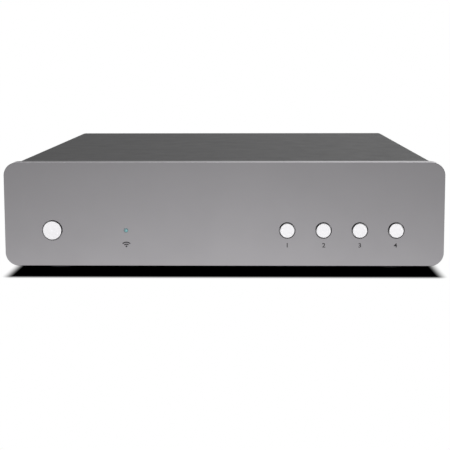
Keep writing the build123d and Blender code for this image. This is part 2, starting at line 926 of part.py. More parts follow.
def make_network_socket():
    """Screened network socket with a latch notch, and its eight sprung contacts."""
    x = main_left_x + network_share * main_width
    front = socket_face_y - network_depth
    body = block(
        x - network_width / 2,
        x + network_width / 2,
        front,
        socket_face_y,
        board_top_z,
        board_top_z + network_height,
    )
    mouth_floor = board_top_z + network_mouth_rise
    mouth_back = socket_face_y - network_mouth_depth
    mouth_top = mouth_floor + network_mouth_height
    half = network_mouth_width / 2
    body -= block(x - half, x + half, mouth_back, socket_face_y + overrun, mouth_floor, mouth_top)
    latch = network_latch_width / 2
    latch_low = mouth_floor - network_latch_height
    body -= block(x - latch, x + latch, mouth_back, socket_face_y + overrun, latch_low, mouth_top)
    keep("network_socket", body)
    contacts = []
    drop = network_contact_thickness / 2
    for number in range(network_contact_count):
        offset = (number - (network_contact_count - 1) / 2) * network_contact_pitch
        blade = block(
            -network_contact_width / 2, network_contact_width / 2, 0, network_contact_length, -drop, drop
        )
        place = Pos(x + offset, mouth_back + network_contact_gap, mouth_top - drop - network_contact_gap)
        contacts.append(place * Rot(-network_contact_angle, 0, 0) * blade)
    keep("network_contacts", Compound(children=contacts))


def make_media_socket():
    """Screened media socket and the tongue inside it."""
    x = main_left_x + media_share * main_width
    front = socket_face_y - media_depth
    half = media_width / 2
    body = block(x - half, x + half, front, socket_face_y, board_top_z, board_top_z + media_height)
    body -= block(
        x - half + media_wall,
        x + half - media_wall,
        front + media_back,
        socket_face_y + overrun,
        board_top_z + media_wall,
        board_top_z + media_height - media_wall,
    )
    keep("media_socket", body)
    high = board_top_z + media_height - media_wall - media_wall
    tongue = block(
        x - media_tongue_width / 2,
        x + media_tongue_width / 2,
        front + media_back,
        socket_face_y - media_tongue_setback,
        high - media_tongue_height,
        high,
    )
    keep("media_tongue", tongue)


def shutter_hinge():
    """x, y and z of the shutter's hinge line."""
    x = main_left_x + optical_share * main_width
    y = socket_face_y - shutter_setback - shutter_barrel / 2
    mouth_top = board_top_z + optical_floor + optical_mouth_height
    return x, y, mouth_top - shutter_gap - shutter_barrel / 2


def make_optical_socket():
    """Optical output: housing, hinged shutter and the red emitter behind it."""
    x, hinge_y, hinge_z = shutter_hinge()
    front = socket_face_y - optical_depth
    half = optical_width / 2
    body = block(x - half, x + half, front, socket_face_y, board_top_z, board_top_z + optical_height)
    mouth_half = optical_mouth_width / 2
    mouth_back = socket_face_y - optical_mouth_depth
    floor_z = board_top_z + optical_floor
    body -= block(
        x - mouth_half, x + mouth_half, mouth_back, socket_face_y + overrun, floor_z, floor_z + optical_mouth_height
    )
    reach = mouth_half - shutter_gap + shutter_pin_length
    far = reach + shutter_gap
    radius = shutter_pin_diameter / 2
    body -= rod_x(hinge_y, hinge_z, x - far, x + far, radius + pin_gap, fastener_sides, True)
    middle_z = floor_z + optical_mouth_height / 2
    body -= rod_y(x, middle_z, front - overrun, mouth_back + overrun, emitter_diameter / 2, can_sides)
    keep("optical_socket", body)
    leaf_half = mouth_half - shutter_gap
    shutter = block(
        x - leaf_half,
        x + leaf_half,
        hinge_y + shutter_barrel / 2 - shutter_thickness,
        hinge_y + shutter_barrel / 2,
        floor_z + shutter_gap,
        hinge_z,
    )
    shutter += rod_x(hinge_y, hinge_z, x - leaf_half, x + leaf_half, shutter_barrel / 2)
    shutter += rod_x(hinge_y, hinge_z, x - reach, x + reach, radius, fastener_sides)
    keep("optical_shutter", shutter)
    emitter_end = mouth_back - emitter_setback
    keep("optical_emitter", rod_y(x, middle_z, front, emitter_end, emitter_diameter / 2, can_sides))


def make_phono_sockets():
    """Phono sockets: moulded housings, plated sleeves and coloured inserts."""
    z = board_top_z + phono_axis_height
    tip_y = rear_face_y + socket_proud
    sleeve_radius = phono_sleeve_diameter / 2
    insert_radius = sleeve_radius - phono_sleeve_wall
    insert_tip = tip_y - phono_insert_setback
    places = phono_places()
    back = rear_inner_y - phono_housing_depth
    half = phono_housing_width / 2
    high = board_top_z + phono_housing_height
    housings = []
    for first, last in ((places["digital"], places["digital"]), (places["left"], places["right"])):
        housings.append(block(first - half, last + half, back, rear_inner_y, board_top_z, high))
    keep("phono_housings", Compound(children=housings))
    sleeves = []
    for name, x in places.items():
        sleeve = rod_y(x, z, rear_face_y, tip_y, sleeve_radius)
        sleeve += rod_y(x, z, rear_inner_y, rear_face_y, sleeve_radius, can_sides)
        sleeve -= rod_y(x, z, rear_inner_y - overrun, tip_y + overrun, insert_radius, can_sides)
        sleeves.append(sleeve)
        insert = rod_y(x, z, rear_inner_y, insert_tip, insert_radius, can_sides)
        bore_end = insert_tip - phono_contact_depth
        insert -= rod_y(x, z, bore_end, insert_tip + overrun, phono_contact_diameter / 2)
        keep(f"{name}_socket_insert", insert)
    keep("phono_sleeves", Compound(children=sleeves))


def make_aerial_sockets():
    """Threaded aerial sockets with their nuts and the thin leads from the radio."""
    radius = aerial_diameter / 2
    tip_y = rear_face_y + socket_proud
    inner_y = rear_inner_y - aerial_inner_length
    sockets, nuts, leads = [], [], []
    module_x, module_y = module_place()
    radio_x = module_x + wireless_x_share * module_width
    radio_top = board_top_z + stack_height + module_thickness + wireless_height
    for side, x in ((-1, -aerial_x), (1, aerial_x)):
        nut_y = rear_face_y + aerial_nut_thickness
        body = rod_y(x, aerial_z, nut_y, tip_y, radius)
        body += rod_y(x, aerial_z, rear_inner_y, nut_y, radius, can_sides)
        body += rod_y(x, aerial_z, inner_y, rear_inner_y, aerial_hex_across / 2, nut_sides, True)
        cup_y = tip_y - aerial_cup_depth
        body -= rod_y(x, aerial_z, cup_y, tip_y + overrun, radius - aerial_wall, can_sides)
        pin_tip = tip_y - aerial_wall
        body += rod_y(x, aerial_z, cup_y, pin_tip, aerial_pin_diameter / 2, fastener_sides)
        sockets.append(body)
        nut = rod_y(x, aerial_z, rear_face_y, nut_y, aerial_hex_across / 2, nut_sides, True)
        nut -= rod_y(x, aerial_z, rear_face_y - overrun, tip_y, radius + thread_gap, can_sides, True)
        nuts.append(nut)
        start_x = radio_x + side * wireless_width / 4
        run_y = rear_inner_y - aerial_lead_margin
        points = [
            (start_x, module_y, radio_top),
            (start_x, module_y, aerial_z),
            (start_x, run_y, aerial_z),
            (x, run_y, aerial_z),
            (x, inner_y, aerial_z),
        ]
        bend = min(aerial_lead_bend, 0.45 * (inner_y - run_y), 0.45 * (aerial_z - radio_top))
        path = FilletPolyline(*points, radius=bend)
        section = Plane(path @ 0, z_dir=path % 0) * RegularPolygon(aerial_lead_diameter / 2, lead_sides)
        leads.append(sweep(section, path=path))
    keep("aerial_sockets", Compound(children=sockets))
    keep("aerial_nuts", Compound(children=nuts))
    keep("aerial_leads", Compound(children=leads))


def inlet_x():
    """x of the middle of the mains inlet."""
    return power_left_x + inlet_flange + inlet_width / 2 + inlet_x_share * (power_board_width - inlet_width)


def make_mains_inlet():
    """Two-pin mains inlet: moulded body with a round-ended well, a flange outside and two pins."""
    x = inlet_x()
    low, high = board_top_z, board_top_z + inlet_height
    front = rear_face_y - inlet_depth
    half = inlet_width / 2
    face_y = rear_face_y + inlet_flange_thickness
    body = block(x - half, x + half, front, face_y, low, high)
    rim = inlet_flange
    body += block(x - half - rim, x + half + rim, rear_face_y, face_y, low - rim, high + rim)
    middle_z = (low + high) / 2
    radius = inlet_mouth_height / 2
    side = inlet_mouth_width / 2 - radius
    well_back = face_y - inlet_mouth_depth
    well = block(x - side, x + side, well_back, face_y + overrun, middle_z - radius, middle_z + radius)
    for end in (-side, side):
        well += rod_y(x + end, middle_z, well_back, face_y + overrun, radius)
    keep("mains_inlet", body - well)
    tip_y = face_y - inlet_pin_setback
    pins = []
    for side in (-1, 1):
        pin_x = x + side * inlet_pin_spacing / 2
        pins.append(rod_y(pin_x, middle_z, well_back, tip_y, inlet_pin_diameter / 2, can_sides))
    keep("mains_pins", Compound(children=pins))


# Power board parts


def make_transformer():
    """Transformer: a three-legged core round a taped winding."""
    x, y = on_power(*transformer_shares)
    width, depth, height = transformer_width, transformer_depth, transformer_height
    core = standing_block(x, y, board_top_z, width, depth, height)
    window_low = board_top_z + transformer_yoke
    window_high = board_top_z + height - transformer_yoke
    outer_leg = transformer_limb / 2
    for side in (-1, 1):
        near = x + side * transformer_limb / 2
        far = x + side * (width / 2 - outer_leg)
        core -= block(min(near, far), max(near, far), y - depth, y + depth, window_low, window_high)
    keep("transformer_core", core)
    half_x = width / 2 - outer_leg - winding_margin
    winding = block(
        x - half_x,
        x + half_x,
        y - depth / 2 - winding_bulge,
        y + depth / 2 + winding_bulge,
        window_low,
        window_high,
    )
    winding = fillet(winding.edges().filter_by(Axis.Z), winding_round)
    limb = transformer_limb / 2
    winding -= block(x - limb, x + limb, y - depth / 2, y + depth / 2, window_low - overrun, window_high + overrun)
    keep("transformer_winding", winding)


def make_supply_parts():
    """Capacitors, mains choke and fuse of the power supply."""
    x, y = on_power(*bulk_capacitor_shares)
    top = board_top_z + bulk_capacitor_height
    cans = [rod_z(x, y, board_top_z, top, bulk_capacitor_diameter / 2, can_sides)]
    for x_share in output_capacitor_x_shares:
        x, y = on_power(x_share, output_capacitor_y_share)
        top = board_top_z + output_capacitor_height
        cans.append(rod_z(x, y, board_top_z, top, output_capacitor_diameter / 2, can_sides))
    keep("supply_capacitors", Compound(children=cans))
    x, y = on_power(*choke_shares)
    choke = rod_z(x, y, board_top_z, board_top_z + choke_height, choke_diameter / 2, can_sides)
    choke -= rod_z(x, y, board_top_z - overrun, board_top_z + choke_height + overrun, choke_bore / 2, can_sides)
    keep("mains_choke", choke)
    x, y = on_power(*fuse_shares)
    radius = fuse_diameter / 2
    z = board_top_z + radius
    near, far = y - fuse_length / 2, y + fuse_length / 2
    fuse = rod_y(x, z, near, far, radius - fuse_cap_wall, can_sides)
    fuse += rod_y(x, z, near, near + fuse_cap_length, radius, can_sides)
    fuse += rod_y(x, z, far - fuse_cap_length, far, radius, can_sides)
    keep("mains_fuse", fuse)


def main():
    """Build every piece and write one STEP file for each."""
    make_front_panel()
    make_panel_screws()
    make_tray()
    make_cover()
    make_rear_panel()
    make_case_screws()
    make_feet()
    make_foot_screws()
    make_buttons()
    make_switches()
    make_control_board()
    make_status_light()
    make_ribbon()
    make_board_connectors()
    make_harness()
    make_boards()
    make_streaming_module()
    make_audio_parts()
    make_network_socket()
    make_media_socket()
    make_optical_socket()
    make_phono_sockets()
    make_aerial_sockets()
    make_mains_inlet()
    make_transformer()
    make_supply_parts()
    os.makedirs("parts", exist_ok=True)
    for name, shape in MADE.items():
        export_step(shape, f"parts/{name}.step")


main()
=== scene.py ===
"""Looks of a compact network music streamer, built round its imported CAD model.

Meshes are worked out in millimetres in the CAD frame and stored in metres. The front panel faces
-Y and the sockets face +Y. Every piece stands where its CAD node stands and rides on that body.
"""

import logging
import math
from dataclasses import dataclass, replace
from enum import Enum
from functools import cache
from itertools import pairwise
from typing import Iterable, Mapping, Protocol, Sequence

import bmesh
import bpy
from mathutils import Matrix, Vector


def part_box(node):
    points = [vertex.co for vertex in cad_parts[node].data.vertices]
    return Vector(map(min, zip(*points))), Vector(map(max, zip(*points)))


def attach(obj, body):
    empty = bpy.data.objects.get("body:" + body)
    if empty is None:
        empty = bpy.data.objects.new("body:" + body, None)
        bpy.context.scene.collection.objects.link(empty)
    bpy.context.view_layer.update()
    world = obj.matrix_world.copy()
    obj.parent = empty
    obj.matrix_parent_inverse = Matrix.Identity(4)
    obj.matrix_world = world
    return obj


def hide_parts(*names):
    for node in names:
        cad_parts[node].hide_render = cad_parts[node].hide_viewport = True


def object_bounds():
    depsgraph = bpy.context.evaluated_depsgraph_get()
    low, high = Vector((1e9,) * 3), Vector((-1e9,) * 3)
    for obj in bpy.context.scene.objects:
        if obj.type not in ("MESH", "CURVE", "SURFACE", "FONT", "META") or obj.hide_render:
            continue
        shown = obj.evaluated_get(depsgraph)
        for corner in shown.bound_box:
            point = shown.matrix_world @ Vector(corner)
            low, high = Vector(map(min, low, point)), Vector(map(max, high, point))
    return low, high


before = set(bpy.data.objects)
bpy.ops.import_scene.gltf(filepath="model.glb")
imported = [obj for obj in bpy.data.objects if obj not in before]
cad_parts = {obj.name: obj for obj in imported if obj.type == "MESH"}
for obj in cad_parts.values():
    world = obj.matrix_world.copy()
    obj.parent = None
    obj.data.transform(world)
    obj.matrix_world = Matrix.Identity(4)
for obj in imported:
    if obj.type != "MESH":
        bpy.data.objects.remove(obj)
cad_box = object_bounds()

LOG = logging.getLogger("streamer")
MM = 0.001
CASE = "case"
QUARTER = math.pi / 2
EDGE_STEPS = 3
LEAST_RADIUS = 0.005
LEAST_STEP = 0.0001
MERGE_DISTANCE = 0.0004
SHARP_ANGLE = math.radians(32.0)

Pair = Flat = Station = tuple[float, float]
Triple = tuple[float, float, float]
Four = tuple[float, float, float, float]
Ring = list[bmesh.types.BMVert]
Object, Material = bpy.types.Object, bpy.types.Material
Tree, Node, Link = bpy.types.NodeTree, bpy.types.Node, bpy.types.NodeSocket
Values = Mapping[str | int, object]


# Places and outlines


class Facing(Enum):
    """The way a piece's depth runs, with the two directions across it."""

    FRONT = ((1, 0, 0), (0, 0, 1), (0, -1, 0))
    REAR = ((1, 0, 0), (0, 0, 1), (0, 1, 0))
    RIGHT = ((0, 1, 0), (0, 0, 1), (1, 0, 0))
    UP = ((1, 0, 0), (0, 1, 0), (0, 0, 1))


@dataclass(frozen=True)
class Seat:
    """A point that a piece is built from, and the way its depth runs."""

    x: float = 0.0
    y: float = 0.0
    z: float = 0.0
    facing: Facing = Facing.REAR

    def at(self, across: float, up: float, depth: float) -> Vector:
        """Return the point at these distances from the seat."""
        sideways, upwards, out = (Vector(way) for way in self.facing.value)
        return Vector((self.x, self.y, self.z)) + sideways * across + upwards * up + out * depth


@dataclass(frozen=True)
class Span:
    """The lowest and highest corner of a CAD node, in millimetres."""

    low: Vector
    high: Vector

    @classmethod
    def of(cls, node: str) -> "Span":
        """Read the box of a CAD node."""
        low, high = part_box(node)
        return cls(low / MM, high / MM)

    @property
    def middle(self) -> Vector:
        """The middle of the box."""
        return (self.low + self.high) / 2

    @property
    def size(self) -> Vector:
        """The box's width, depth and height."""
        return self.high - self.low

    def inner_seat(self, z: float) -> Seat:
        """Return the seat at the middle of the box's inner end, at a height."""
        return Seat(self.middle.x, self.low.y, z)


def arc(u: float, v: float, radius: float, start: float, end: float, steps: int) -> list[Flat]:
    """Return the points of an arc round a centre, with both of its ends."""
    turns = [start + (end - start) * step / steps for step in range(steps + 1)]
    return [(u + radius * math.cos(turn), v + radius * math.sin(turn)) for turn in turns]


def rounded_end(tip: float, drop: float, radius: float, steps: int, flat: float = 0.0) -> list[Station]:
    """Work out the stations of a rounded end, from just past its side to its tip.

    Args:
        tip: The depth of the tip.
        drop: How far before the tip the rounding starts.
        radius: How far the rounding reaches out from the flat middle.
        steps: The number of stations.
        flat: The radius of the flat middle.

    Returns:
        Depth and radius of each station.
    """
    turns = [QUARTER * step / steps for step in range(1, steps + 1)]
    return [(tip - drop * (1 - math.sin(turn)), flat + radius * math.cos(turn)) for turn in turns]


class Outline(Protocol):
    """A closed flat outline that can be drawn a little smaller or larger."""

    def points(self, inset: float = 0.0) -> list[Flat]:
        """Return the outline's points, moved in by the inset, or out where it is negative."""


Steps = Sequence[tuple[Outline, float]]


@dataclass(frozen=True)
class Rounded:
    """A rectangle with a radius at each corner: low left, low right, high right, high left."""

    left: float
    right: float
    low: float
    high: float
    radii: Four
    steps: int = 8

    @classmethod
    def centred(cls, u: float, v: float, width: float, height: float, radius: float) -> "Rounded":
        """Return a rectangle round a middle point, with one radius."""
        half, rise = width / 2, height / 2
        return cls(u - half, u + half, v - rise, v + rise, (radius,) * 4)

    @classmethod
    def circle(cls, u: float, v: float, radius: float, steps: int = 12) -> "Rounded":
        """Return a circle, as a square whose corners are quarter circles."""
        return cls(u - radius, u + radius, v - radius, v + radius, (radius,) * 4, steps)

    @classmethod
    def around(cls, box: Span, gap: float, low: float, high: float, steps: int = 12) -> "Rounded":
        """Return a rectangle round a box seen from behind, with its low and its high radius."""
        sides = box.low.x - gap, box.high.x + gap, box.low.z - gap, box.high.z + gap
        return cls(*sides, (low, low, high, high), steps)

    @classmethod
    def standing(
        cls, half: float, tall: float, radius: float, inset: float = 0.0, steps: int = 4
    ) -> "Rounded":
        """Return a rectangle that stands on the seat, moved in by the inset."""
        return cls(inset - half, half - inset, inset, tall - inset, (radius,) * 4, steps)

    def points(self, inset: float = 0.0) -> list[Flat]:
        """Return the outline's points, anticlockwise from the low left corner.

        Args:
            inset: The distance by which the outline shrinks, or grows where it is negative.

        Returns:
            The points, with none repeated.
        """
        corners = (
            (self.left, self.low, 1, 1), (self.right, self.low, -1, 1),
            (self.right, self.high, -1, -1), (self.left, self.high, 1, -1),
        )
        kept: list[Flat] = []
        for number, ((u, v, inward_u, inward_v), radius) in enumerate(zip(corners, self.radii)):
            bend = max(radius - inset, LEAST_RADIUS)
            reach, start = inset + bend, (number + 2) % 4 * QUARTER
            centre = u + inward_u * reach, v + inward_v * reach
            for point in arc(*centre, bend, start, start + QUARTER, self.steps):
                if not kept or math.dist(point, kept[-1]) > LEAST_STEP:
                    kept.append(point)
        return kept[:-1] if math.dist(kept[0], kept[-1]) < LEAST_STEP else kept


@dataclass(frozen=True)
class Hexagon:
    """A hexagon with a corner on the u axis, whose corners an inset cuts to a circle."""

    across_flats: float
    steps: int = 12

    def points(self, inset: float = 0.0) -> list[Flat]:
        """Return the outline's points, kept inside a circle that the inset makes smaller.

        Args:
            inset: The distance by which the outline shrinks, or grows where it is negative.

        Returns:
            The points, anticlockwise.
        """
        flat, side = self.across_flats / 2, math.pi / 3
        limit = flat / math.cos(side / 2) - inset
        points = []
        for number in range(6 * self.steps):
            turn = side * number / self.steps
            reach = min(flat / math.cos(turn % side - side / 2), limit)
            points.append((reach * math.cos(turn), reach * math.sin(turn)))
        return points


@dataclass(frozen=True)
class Cross:
    """A cross with four equal arms, as a screw's recess or a button's stem has."""

    reach: float
    half_width: float

    def points(self, inset: float = 0.0) -> list[Flat]:
        """Return the cross's twelve corners.

        Args:
            inset: The distance by which the outline shrinks, or grows where it is negative.

        Returns:
            The points, anticlockwise.
        """
        far, near = self.reach - inset, self.half_width - inset
        arm = ((far, -near), (far, near), (near, near))
        turns = [(math.cos(number * QUARTER), math.sin(number * QUARTER)) for number in range(4)]
        return [(u * cos - v * sin, u * sin + v * cos) for cos, sin in turns for u, v in arm]


@dataclass(frozen=True)
class Polygon:
    """A polygon given by its corners, anticlockwise. Each corner moves along its half angle."""

    corners: tuple[Flat, ...]

    def points(self, inset: float = 0.0) -> list[Flat]:
        """Return the corners, with each side moved in by the inset.

        Args:
            inset: The distance by which the outline shrinks, or grows where it is negative.

        Returns:
            The points, anticlockwise.
        """
        count = len(self.corners)
        points = []
        for number in range(count):
            before, here, after = (Vector(self.corners[(number + k) % count]) for k in (-1, 0, 1))
            back, on = (here - before).normalized(), (after - here).normalized()
            inward_back, inward_on = Vector((-back.y, back.x)), Vector((-on.y, on.x))
            share = inset / max(1 + inward_back.dot(inward_on), 0.1)
            points.append(tuple(here + (inward_back + inward_on) * share))
        return points


@dataclass(frozen=True)
class ArcBand:
    """A stroke along an arc that opens upwards from its centre, with round ends."""

    v: float
    radius: float
    half_angle: float
    stroke: float
    steps: int = 20

    def points(self, inset: float = 0.0) -> list[Flat]:
        """Return the stroke's outline: outer arc, round end, inner arc, round end.

        Args:
            inset: The distance by which the outline shrinks, or grows where it is negative.

        Returns:
            The points, anticlockwise.
        """
        half = self.stroke / 2 - inset
        start, end = QUARTER - self.half_angle, QUARTER + self.half_angle
        points: list[Flat] = []
        for reach, first, last in ((half, start, end), (-half, end, start)):
            points += arc(0, self.v, self.radius + reach, first, last, self.steps)
            middle = arc(0, self.v, self.radius, last, last, 1)[0]
            facing = last if reach > 0 else last + math.pi
            points += arc(*middle, half, facing, facing + math.pi, 8)[1:-1]
        return points


def edge_stations(depth: float, way: float, radius: float, grow: bool = False) -> list[Station]:
    """Work out the stations of a rounded edge, from the face inwards.

    Args:
        depth: The depth of the face.
        way: 1 where the piece lies at greater depths than the face, -1 where it lies at smaller.
        radius: The radius of the edge.
        grow: Whether the outline is a hole's, which opens towards the face.

    Returns:
        Depth and inset of each station, from the face to the straight side.
    """
    side = -radius if grow else radius
    turns = [QUARTER * (1 - step / EDGE_STEPS) for step in range(EDGE_STEPS + 1)]
    return [(depth + way * radius * (1 - math.sin(t)), side * (1 - math.cos(t))) for t in turns]


def rim_stations(low: float, high: float, low_edge: float, high_edge: float) -> list[Station]:
    """Return the stations of a side between two faces, by the radius of each face's edge."""
    return edge_stations(low, 1.0, low_edge) + edge_stations(high, -1.0, high_edge)[::-1]


# Mesh making


class Shell:
    """A mesh made of closed rings, in millimetres, that becomes a finished piece."""

    def __init__(self, name: str) -> None:
        """Start an empty mesh for the piece of this name."""
        self.name = name
        self.mesh = bmesh.new()

    def ring(self, seat: Seat, outline: Iterable[Flat], depth: float) -> Ring:
        """Add the points of an outline at a depth from the seat."""
        return [self.mesh.verts.new(seat.at(u, v, depth)) for u, v in outline]

    def loft(self, rings: list[Ring], closed: bool = False) -> list[Ring]:
        """Add the faces between rings that have as many points each.

        Args:
            rings: The rings, in order.
            closed: Whether the last ring joins the first, as round a hollow piece's wall.

        Returns:
            The same rings.
        """
        for first, second in pairwise(rings + rings[:1] if closed else rings):
            for here in range(len(first)):
                after = (here + 1) % len(first)
                self.mesh.faces.new((first[here], first[after], second[after], second[here]))
        return rings

    def cap(self, *rings: Ring) -> None:
        """Close each ring with one face."""
        for ring in rings:
            self.mesh.faces.new(ring)

    def fill(self, *rings: Ring) -> None:
        """Close the flat face between an outer ring and the rings of its holes.

        Args:
            rings: The outer ring, then the ring of each hole.
        """
        sides = [pair for ring in rings for pair in zip(ring, ring[1:] + ring[:1])]
        edges = [self.mesh.edges.get(side) or self.mesh.edges.new(side) for side in sides]
        bmesh.ops.triangle_fill(self.mesh, use_beauty=True, use_dissolve=False, edges=edges)

    def tube(self, seat: Seat, outline: Outline, stations: Sequence[Station]) -> list[Ring]:
        """Add the side that an outline makes as it moves through its stations.

        Args:
            seat: Where the outline's own middle is, and the way its depth runs.
            outline: The outline.
            stations: Depth and inset of each ring.

        Returns:
            The rings, in the order of the stations.
        """
        return self.loft([self.ring(seat, outline.points(inset), depth) for depth, inset in stations])

    def closed_tube(self, seat: Seat, outline: Outline, *depths: float) -> None:
        """Add a straight side between two depths and close both of its ends."""
        self.cap(*self.tube(seat, outline, [(depth, 0.0) for depth in depths]))

    def bore(self, seat: Seat, steps: Steps, start: float, edge: float) -> tuple[Ring, Ring]:
        """Add the sides and steps of a stepped hole.

        Args:
            seat: Where the outlines' own middle is, and the way their depth runs.
            steps: Each step's outline and the depth where it ends.
            start: The depth of the face that the hole is cut in.
            edge: The radius of the edge at that face.

        Returns:
            The ring in the face and the ring at the hole's end.
        """
        outline, end = steps[0]
        mouth = edge_stations(start, 1.0 if end > start else -1.0, edge, True)
        walls = self.tube(seat, outline, [*mouth, (end, 0.0)])
        first, last = walls[0], walls[-1]
        for (_, depth), (outline, end) in pairwise(steps):
            walls = self.tube(seat, outline, [(depth, 0.0), (end, 0.0)])
            self.fill(last, walls[0])
            last = walls[-1]
        return first, last

    def solid(
        self, seat: Seat, outline: Outline, low: float, high: float, bores: Sequence[Steps] = (),
        back_bores: Sequence[Steps] = (), edge: float = 0.15, front_edge: float | None = None,
    ) -> None:
        """Add a solid between two depths, with rounded edges and stepped holes.

        Args:
            seat: Where the outlines' own middle is, and the way their depth runs.
            outline: The solid's outline.
            low: The depth of its back.
            high: The depth of its face.
            bores: Holes from the face. One that ends at the back goes through.
            back_bores: Blind holes from the back.
            edge: The radius of the edges.
            front_edge: The radius of the outer edge of the face, where it differs.
        """
        face_edge = edge if front_edge is None else front_edge
        outer = self.tube(seat, outline, rim_stations(low, high, edge, face_edge))
        back, front = [outer[0]], [outer[-1]]
        for steps in bores:
            first, last = self.bore(seat, steps, high, edge)
            front.append(first)
            if math.isclose(steps[-1][1], low, abs_tol=LEAST_RADIUS):
                back.append(last)
            else:
                self.cap(last)
        for steps in back_bores:
            first, last = self.bore(seat, steps, low, edge)
            back.append(first)
            self.cap(last)
        self.fill(*front)
        self.fill(*back)

    def turned(self, seat: Seat, stations: Sequence[Station], sides: int = 64, closed: bool = False) -> None:
        """Add a turned shape.

        Args:
            seat: A point on the axis, and the way the axis runs.
            stations: Depth and radius of each ring. A radius of zero is a closed end.
            sides: The number of sides.
            closed: Whether the last ring joins the first, as round a hollow piece's wall.
        """
        rounds = [(depth, arc(0, 0, radius, 0, 2 * math.pi, sides)[:-1]) for depth, radius in stations]
        self.loft([self.ring(seat, points, depth) for depth, points in rounds], closed)

    def loose(self, finish: Material | None = None, scale: float = MM) -> Object:
        """Make the object, with its doubles merged and its faces outward.

        Args:
            finish: Its material, or none for a shape that a node tree takes up.
            scale: The size of one unit of the mesh, in metres.

        Returns:
            The object, at the origin.
        """
        bmesh.ops.remove_doubles(self.mesh, verts=self.mesh.verts, dist=MERGE_DISTANCE)
        bmesh.ops.dissolve_degenerate(self.mesh, edges=self.mesh.edges, dist=MERGE_DISTANCE)
        bmesh.ops.recalc_face_normals(self.mesh, faces=self.mesh.faces)
        bmesh.ops.transform(self.mesh, matrix=Matrix.Scale(scale, 4), verts=self.mesh.verts)
        data = bpy.data.meshes.new(self.name)
        self.mesh.to_mesh(data)
        self.mesh.free()
        if finish is not None:
            data.materials.append(finish)
        return linked(self.name, data)

    def piece(self, slot: str, *replaces: str, body: str = CASE, finish: Material | None = None) -> Object:
        """Make the finished piece.

        Args:
            slot: The record's slot that its finish comes from.
            replaces: The CAD nodes that it stands for.
            body: The CAD body that it rides on.
            finish: Its material, where it isn't the slot's own.

        Returns:
            The finished object.
        """
        return settled(self.loose(finish or finish_of(slot)), slot, *replaces, body=body)


def linked(name: str, data: bpy.types.ID | None) -> Object:
    """Return a new object of this data, in the scene.

    Args:
        name: The object's name.
        data: Its data.

    Returns:
        The object.
    """
    made = bpy.data.objects.new(name, data)
    bpy.context.scene.collection.objects.link(made)
    return made


def evaluated(made: Object) -> bpy.types.Mesh:
    """Return a plain mesh of an object as its modifiers leave it.

    Args:
        made: The object.

    Returns:
        The mesh.
    """
    bpy.context.view_layer.update()
    graph = bpy.context.evaluated_depsgraph_get()
    return bpy.data.meshes.new_from_object(made.evaluated_get(graph), depsgraph=graph)


def applied(made: Object) -> Object:
    """Give an object its evaluated mesh and take its modifiers off.

    Args:
        made: The object.

    Returns:
        The same object.
    """
    data = evaluated(made)
    made.modifiers.clear()
    made.data = data
    data.name = made.name
    return made


def settled(made: Object, slot: str, *replaces: str, body: str = CASE) -> Object:
    """Shade a mesh smoothly up to its sharp edges and fix it to its body.

    Args:
        made: The object, in place.
        slot: Not used.
        replaces: The CAD nodes that it stands for.
        body: The CAD body that it rides on.

    Returns:
        The finished object.
    """
    made.data.shade_smooth()
    made.data.set_sharp_from_angle(angle=SHARP_ANGLE)
    made.modifiers.new("flat faces stay flat", "WEIGHTED_NORMAL").keep_sharp = True
    applied(made)
    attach(made, body)
    if replaces:
        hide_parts(*replaces)
    return made


# Node trees

FLOAT, VECTOR, COLOUR = "NodeSocketFloat", "NodeSocketVector", "NodeSocketColor"
WHOLE, SHAPE, GEOMETRY = "NodeSocketInt", "NodeSocketObject", "NodeSocketGeometry"
CLOUD_SCALE = 26.0
SMEAR_SCALE = 90.0
NOISE_RANGE = (0.3, 0.7)
ACROSS_Y = (1, 0, 1)


